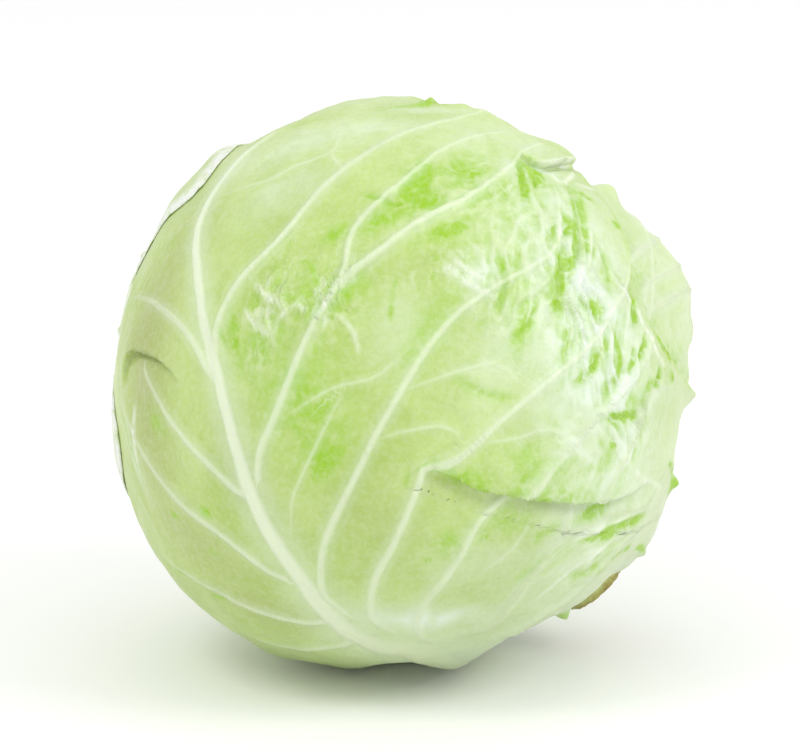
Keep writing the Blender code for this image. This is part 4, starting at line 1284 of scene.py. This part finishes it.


# White lines on ridges and fold edges: partly the leaf's pale ridges, partly painted highlight.
FRONT_WHITE_STROKES = [
    Stroke([(42, 69), (46, 69.5), (52, 70), (55, 69.6)], 0.8 * MM, 1.0, 0.5 * MM),
    Stroke([(43, 68), (47, 65.5), (51, 62.5), (54.5, 66.5)], 0.9 * MM, 0.8, 0.4 * MM),
    Stroke([(49.5, 52), (49, 44), (46.5, 37)], 0.9 * MM, 0.8, 0.6 * MM),
    Stroke([(58.5, 50), (59.5, 42), (57.5, 33)], 0.8 * MM, 0.7, 0.5 * MM),
    Stroke([(36, 62.5), (31, 59), (28, 57)], 0.7 * MM, 0.6, 0.3 * MM),
    Stroke([(54, 62.5), (59, 61), (64.5, 59.5), (68, 52)], 0.8 * MM, 0.7, 0.4 * MM),
    Stroke([(64, 38), (68, 31), (73.5, 22), (76.5, 15)], 0.7 * MM, 0.8, 0.5 * MM),
    Stroke([(75, 20), (78.5, 12), (82, 5)], 0.7 * MM, 0.8, 0.5 * MM),
    Stroke([(60, 20), (63, 12), (62, 4)], 0.8 * MM, 0.6, 0.4 * MM),
    Stroke([(15, 42), (20, 36), (30, 31)], 0.9 * MM, 0.6, 0.4 * MM),
    Stroke([(14, 37), (22, 31), (31, 26)], 0.9 * MM, 0.6, 0.4 * MM),
    Stroke([(-46, 32), (-41, 27), (-36, 24)], 0.9 * MM, 0.7, 0.4 * MM),
    Stroke([(-49, 24), (-44, 17), (-38, 14)], 0.8 * MM, 0.6, 0.4 * MM),
    Stroke([(-38, 20), (-33, 25), (-29, 22)], 0.8 * MM, 0.7, 0.4 * MM),
    Stroke([(-27, 30), (-23, 24), (-24, 17)], 0.9 * MM, 0.7, 0.4 * MM),
    Stroke([(-20, 22), (-15, 17), (-13, 9)], 0.8 * MM, 0.6, 0.3 * MM),
    Stroke([(-83.5, -6), (-83.2, -16), (-82, -27)], 1.1 * MM, 0.7, 0.2 * MM),
    Stroke([(70, -24), (76, -29), (82, -33)], 0.7 * MM, 0.6, 0.4 * MM),
    Stroke([(44, -57), (52, -50), (62, -45), (76, -39)], 0.8 * MM, 0.6, 0.4 * MM),
    Stroke([(40, -70), (52, -60), (64, -51), (72, -45)], 0.8 * MM, 0.6, 0.4 * MM),
]

# Green lines in valleys and along margins: partly the leaf's own green, partly painted shade in the valleys.
FRONT_GREEN_STROKES = [
    Stroke([(54, 57), (54.2, 48), (54, 40), (52.5, 32)], 1.5 * MM, 1.0),
    Stroke([(47, 52), (48.5, 42), (48.2, 34)], 0.8 * MM, 0.9),
    Stroke([(72, 29), (72.8, 23), (73.4, 17)], 0.8 * MM, 1.0),
    Stroke([(77, 21), (80, 15), (83.5, 7)], 0.7 * MM, 1.0),
    Stroke([(79, 2), (76, -6), (77, -14)], 0.8 * MM, 0.7),
    Stroke([(66, 18), (69, 8), (67, 0)], 0.8 * MM, 0.6),
    Stroke([limb(356, 9), limb(350, 9), limb(343, 8), limb(337, 8)], 1.1 * MM, 0.8),
    Stroke([(-30, 39), (-26, 33), (-25, 25), (-27, 17)], 0.9 * MM, 0.8),
    Stroke([(-57, 19), (-55, 13), (-53, 8)], 0.8 * MM, 0.5),
    Stroke([(-14.6, 35.5), (-16, 31), (-20, 24.5)], 0.8 * MM, 1.0),
    Stroke([(8.5, 66), (5.5, 61), (4, 53)], 0.9 * MM, 1.0),
    Stroke([(-1, 34), (-2.5, 27), (-3, 19)], 0.7 * MM, 0.6),
    Stroke([(5, 87.8), (9, 89), (15, 88), (24, 85)], 0.9 * MM, 1.0),
    Stroke([(55, -50), (62, -47.4), (70, -43.4)], 1.0 * MM, 0.8),
    Stroke([(36, -62), (46, -54), (56, -47)], 1.4 * MM, 0.45),
    Stroke([(60, -60), (66, -55), (73, -50)], 0.9 * MM, 0.7),
    Stroke([(73, -53), (76, -52), (78, -53.5)], 1.0 * MM, 1.0),
]

LEFT_CRUMPLES = [
    Crumple(polar(95, -165), (60, 30), 40, 0.6, (16.0, 6.0)),
    Crumple(polar(60, -120), (50, 30), -30, 0.5, (16.0, 6.0)),
    Crumple(polar(125, -120), (40, 30), 60, 0.6, (12.0, 5.0)),
]

LEFT_GREEN = [
    Patch(polar(100, 178), (22, 9), 40, 0.5),
    Patch(polar(112, -150), (20, 8), 20, 0.45),
    Patch(polar(84, -104), (18, 7), -30, 0.4),
    Patch((-87.5, -17), (6, 20), 5, 1.0),
]

LEFT_OLIVE = [
    Patch(polar(60, -100), (34, 20), 0, 0.5),
    Patch(polar(120, -100), (24, 16), 30, 0.4),
]

RIGHT_CRUMPLES = [
    Crumple(polar(75, 60), (50, 26), 30, 0.7, (14.0, 5.0)),
    Crumple(polar(100, 95), (36, 26), 70, 0.7, (12.0, 5.0)),
    Crumple(polar(45, 95), (36, 22), -30, 0.6, (14.0, 5.0)),
]

RIGHT_GREEN = [
    Patch(polar(84, 84), (18, 7), 30, 0.5),
    Patch(polar(56, 100), (16, 6), -20, 0.4),
]

BACK_CRUMPLES = [
    Crumple(polar(75, 165), (60, 30), 60, 0.7, (16.0, 6.0)),
    Crumple(polar(110, 150), (40, 26), 20, 0.7, (12.0, 5.0)),
]

BACK_GREEN = [
    Patch(polar(80, 140), (20, 8), 50, 0.5),
    Patch(polar(60, 175), (18, 7), 10, 0.4),
]


def midrib_of(longitude: float, tip: float) -> list[Point]:
    """A midrib that leaves the stalk at this longitude and runs straight to the tip's colatitude."""
    return [polar(col, longitude) for col in np.linspace(11.5, tip, 7)]


def side_veins(midrib: float, starts: tuple[float, ...], reach: float, rise: float) -> list[list[Point]]:
    """Side veins on both sides of a midrib.

    Args:
        midrib: Longitude of the midrib, in degrees.
        starts: Colatitude of each pair of veins at the midrib.
        reach: How far they run out, in degrees of longitude.
        rise: How far they run towards the tip, in degrees.

    Returns:
        The points of each vein.
    """
    veins = []
    for number, start in enumerate(starts):
        for side in (-1, 1):
            lead = 6 * (side > 0)
            spans = [2, 0.25 * reach, 0.55 * reach, 0.8 * reach, reach]
            shares = [0, 0.42, 0.72, 0.9, 1]
            veins.append(
                [
                    polar(start + lead + rise * up * (1 + 0.1 * number), midrib + side * out)
                    for out, up in zip(spans, shares)
                ]
            )
    return veins


def wrapper_leaves() -> list[WrapperLeaf]:
    """The four wrapper leaves, each told which others lie over it."""
    front = WrapperLeaf(LeafPlan(
        "leaf_front", "outer_leaf", np.array([-0.22, -0.22, 0.95]), 0.0, FRONT_OUTLINE, FRONT_MIDRIB,
        FRONT_VEINS, 1, FRONT_FINE_VEINS, FRONT_FOLDS, FRONT_CREASES, FRONT_LUMPS, FRONT_CRUMPLES,
        FRONT_GREEN, FRONT_PALE, FRONT_OLIVE, FRONT_GLOSS_AND_GLINTS, FRONT_WHITE_STROKES, FRONT_GREEN_STROKES,
        grid=306, rim=0.45, waviness=0.5,
    ))
    left = WrapperLeaf(LeafPlan(
        "leaf_left", "outer_leaf", polar(92, -137), -0.2 * MM, LEFT_OUTLINE, midrib_of(-132, 150),
        side_veins(-132, (34, 52, 70, 88, 106, 122), 62, 20), 2, crumples=LEFT_CRUMPLES, green=LEFT_GREEN,
        olive=LEFT_OLIVE, grid=250, lift=LEFT_LIFT, pallor=0.1, margin_white=1.15, rim=0.1, waviness=0.6,
    ))
    right = WrapperLeaf(LeafPlan(
        "leaf_right", "inner_leaf", polar(72, 70), RIGHT_LEVEL, RIGHT_OUTLINE, midrib_of(72, 126),
        RIGHT_VEINS + side_veins(72, (36, 56, 76, 94), 56, 18), 3, crumples=RIGHT_CRUMPLES, green=RIGHT_GREEN,
        grid=220, pallor=0.1, rim=0.3,
    ))
    back = WrapperLeaf(LeafPlan(
        "leaf_back", "inner_leaf", polar(78, 178), -6.3 * MM, BACK_OUTLINE, midrib_of(172, 150),
        side_veins(172, (36, 56, 76, 94), 62, 18), 4, crumples=BACK_CRUMPLES, green=BACK_GREEN, grid=220,
        pallor=0.3, rim=0.3,
    ))
    for leaf in (front, right, back):
        leaf.thickness = FULL_THICKNESS
    front.covers = [left]
    left.lifted_over = front
    right.covers = [front, left]
    back.covers = [left, right]
    return [front, left, right, back]


@dataclass
class Stalk:
    """The stub of the stalk, cut off square, its face roughened and split."""

    radius: float = 13.5 * MM
    end: float = 94 * MM
    length: float = 12 * MM
    sides: int = 96

    def build(self) -> bpy.types.Object:
        """Builds the stub along +Z, then turns it to the stalk's direction in its mesh."""
        bpy.ops.object.select_all(action="DESELECT")
        bpy.ops.mesh.primitive_cylinder_add(
            vertices=self.sides, radius=self.radius, depth=self.length, end_fill_type="NGON",
            location=(0, 0, self.length / 2),
        )
        piece = bpy.context.object
        piece.name = piece.data.name = "fine_stalk"
        bpy.ops.object.transform_apply(location=True, rotation=False, scale=False)
        bpy.ops.object.mode_set(mode="EDIT")
        bpy.ops.mesh.select_all(action="DESELECT")
        bpy.ops.mesh.select_mode(type="FACE")
        bpy.ops.object.mode_set(mode="OBJECT")
        for face in piece.data.polygons:
            face.select = face.normal.z > 0.9
        bpy.ops.object.mode_set(mode="EDIT")
        for _ in range(5):
            bpy.ops.mesh.inset(thickness=self.radius * 0.16, depth=0)
        bpy.ops.mesh.poke()
        bpy.ops.mesh.select_all(action="SELECT")
        bpy.ops.mesh.subdivide(number_cuts=2)
        bpy.ops.object.mode_set(mode="OBJECT")
        self.wear(piece.data)
        bpy.ops.object.shade_smooth_by_angle(angle=math.radians(60))
        return piece

    def wear(self, mesh: bpy.types.Mesh) -> None:
        """Rounds the rim, roughens the face, turns the stub to its place and stores what its finish reads."""
        cut, ring = [], []
        axis = Vector(HEAD.stalk_axis @ HEAD.turn)
        turn = Vector((0, 0, 1)).rotation_difference(axis).to_matrix().to_4x4()
        foot = Vector(HEAD.to_world((HEAD.stalk_axis * (self.end - self.length))[None])[0])
        for vert in mesh.vertices:
            out = math.hypot(vert.co.x, vert.co.y) / self.radius
            up = vert.co.z / self.length
            cut.append(float(up > 0.985))
            ring.append(out)
            grain = noise.noise(Vector((vert.co.x, vert.co.y, 0)) * 420)
            lumps = noise.noise(vert.co * 130)
            vert.co.z -= up**6 * (0.9 * MM * out**6 + 0.45 * MM * grain + 0.7 * MM * max(0, lumps))
            swell = 1 - 0.1 * up**8 + 0.05 * lumps
            vert.co.x *= swell
            vert.co.y *= swell
        write_float(mesh, "cut", np.array(cut))
        write_float(mesh, "ring", np.array(ring))
        mesh.transform(Matrix.Translation(foot) @ turn)
        mesh.update()


@dataclass
class Heart:
    """The dense heart, whose face shows the margins of the leaves folded over it."""

    level: float = -12.2 * MM
    lap_height: float = 1.0 * MM
    laps: int = 3
    rings: int = 150

    def build(self) -> bpy.types.Object:
        """Builds the heart from a ball, raised in overlapping laps round the stalk's axis."""
        bpy.ops.object.select_all(action="DESELECT")
        bpy.ops.mesh.primitive_uv_sphere_add(segments=2 * self.rings, ring_count=self.rings, radius=1)
        piece = bpy.context.object
        piece.name = piece.data.name = "fine_heart"
        mesh = piece.data
        places = np.empty(len(mesh.vertices) * 3)
        mesh.vertices.foreach_get("co", places)
        local = unit(places.reshape(-1, 3))
        axis, zero, ninety = HEAD.axes
        dirs = local[:, 2:] * -axis + local[:, :1] * zero + local[:, 1:2] * -ninety
        turn = np.arctan2(dirs @ ninety, dirs @ zero)
        col = np.arccos(np.clip(dirs @ axis, -1, 1))
        lap = (turn / (2 * math.pi) * self.laps + col / math.pi * 0.8) % 1.0
        soft = np.where(lap > 0.97, (1 - lap) / 0.03, lap / 0.97)
        height = self.lap_height * soft * smoothstep(2 * col) * smoothstep(2 * (math.pi - col))
        radius = HEAD.radius_at(dirs) + self.level + height
        mesh.vertices.foreach_set("co", HEAD.to_world(dirs * radius[:, None]).ravel())
        flat = np.zeros(len(dirs))
        for layer in Layer:
            write_vector(mesh, layer.value, flat + 6, flat + 1, flat)
        write_float(mesh, "green", flat + 0.1)
        write_float(mesh, "white", flat)
        write_float(mesh, "pale", 0.35 + 0.3 * (1 - soft))
        write_float(mesh, "olive", flat)
        # A little glossy all over, with faint painted glints.
        write_float(mesh, "gloss_and_glints", flat + 0.2)
        write_float(mesh, "rim", 0.3 * smoothstep(20 * soft - 19))
        write_float(mesh, "stalkward", 1 - smoothstep((np.degrees(col) - 15) / 65))
        close(piece)
        return piece


@dataclass(frozen=True)
class Studio:
    """The plain pale floor, the soft lights and the camera of the front view."""

    floor_size: float = 8.0
    sky: float = 1.0
    middle_drop: float = 2.34 * MM
    frame_width: float = 0.25
    sensor: float = 36.0

    def build(self) -> None:
        """Sets the floor, the lights and the camera."""
        self.set_floor()
        self.set_sky()
        self.set_lamp("key", (-0.45, 0.65, 0.60), 1.3, 0.4, 2.8)
        self.set_lamp("fill", (0.72, 0.50, 0.45), 1.4, 0.6, 5.2)
        self.set_camera()

    def set_floor(self) -> None:
        """A plain pale floor under the head."""
        bpy.ops.object.select_all(action="DESELECT")
        bpy.ops.mesh.primitive_plane_add(size=self.floor_size)
        floor = bpy.context.object
        floor.name = "floor"
        finish = Finish("pale_floor")
        finish.shader.inputs["Base Color"].default_value = (0.93, 0.93, 0.93, 1)
        finish.shader.inputs["Roughness"].default_value = 0.9
        floor.data.materials.append(finish.material)

    def set_sky(self) -> None:
        """Even white light from all round."""
        world = bpy.data.worlds.new("studio")
        world.use_nodes = True
        world.node_tree.nodes["Background"].inputs["Color"].default_value = (1, 1, 1, 1)
        world.node_tree.nodes["Background"].inputs["Strength"].default_value = self.sky
        bpy.context.scene.world = world

    def set_lamp(self, name: str, towards: Point, distance: float, size: float, power: float) -> None:
        """A soft square lamp that faces the head from a direction of the front view."""
        data = bpy.data.lights.new(name, "AREA")
        data.size = size
        data.energy = power
        lamp = bpy.data.objects.new(name, data)
        bpy.context.scene.collection.objects.link(lamp)
        place = Vector(HEAD.to_world(unit(np.array(towards))[None] * distance)[0])
        middle = Vector((0, 0, HEAD.rest_height))
        lamp.location = place
        lamp.rotation_euler = (middle - place).to_track_quat("-Z", "Y").to_euler()

    def set_camera(self) -> None:
        """A long lens at the front, a little above the head."""
        data = bpy.data.cameras.new("front")
        data.sensor_width = self.sensor
        data.lens = self.sensor * HEAD.view_distance / self.frame_width
        camera = bpy.data.objects.new("front", data)
        bpy.context.scene.collection.objects.link(camera)
        right, up, towards = (Vector(axis) for axis in HEAD.turn)
        middle = Vector((0, 0, HEAD.rest_height)) + up * self.middle_drop
        camera.location = middle + towards * HEAD.view_distance
        camera.rotation_euler = Matrix((right, up, towards)).transposed().to_euler()
        bpy.context.scene.camera = camera
        bpy.context.scene.view_settings.view_transform = "Standard"


def settle(piece: bpy.types.Object, node: str, slot: str, finish: bpy.types.Material) -> None:
    """Gives a piece its finish, its body and the node that it stands for, and reports it."""
    piece.data.materials.clear()
    piece.data.materials.append(finish)
    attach(piece, "root")
    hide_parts(node)
    LOG.info("%s: %d faces", piece.name, len(piece.data.polygons))


def main() -> None:
    """Builds the studio and every piece in order."""
    logging.basicConfig(level=logging.INFO, format="%(message)s")
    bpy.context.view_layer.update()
    Studio().build()
    outer = LeafFinish("outer_leaf_skin").make()
    inner = LeafFinish("inner_leaf_skin", lamina=(196, 214, 150), deep=(172, 198, 112)).make()
    for leaf in wrapper_leaves():
        finish = outer if leaf.plan.slot == "outer_leaf" else inner
        settle(leaf.build(), leaf.plan.name, leaf.plan.slot, finish)
    settle(Heart().build(), "heart", "heart", inner)
    settle(Stalk().build(), "stalk", "cut_stalk", StalkFinish().make())


if __name__ == "__main__":
    main()
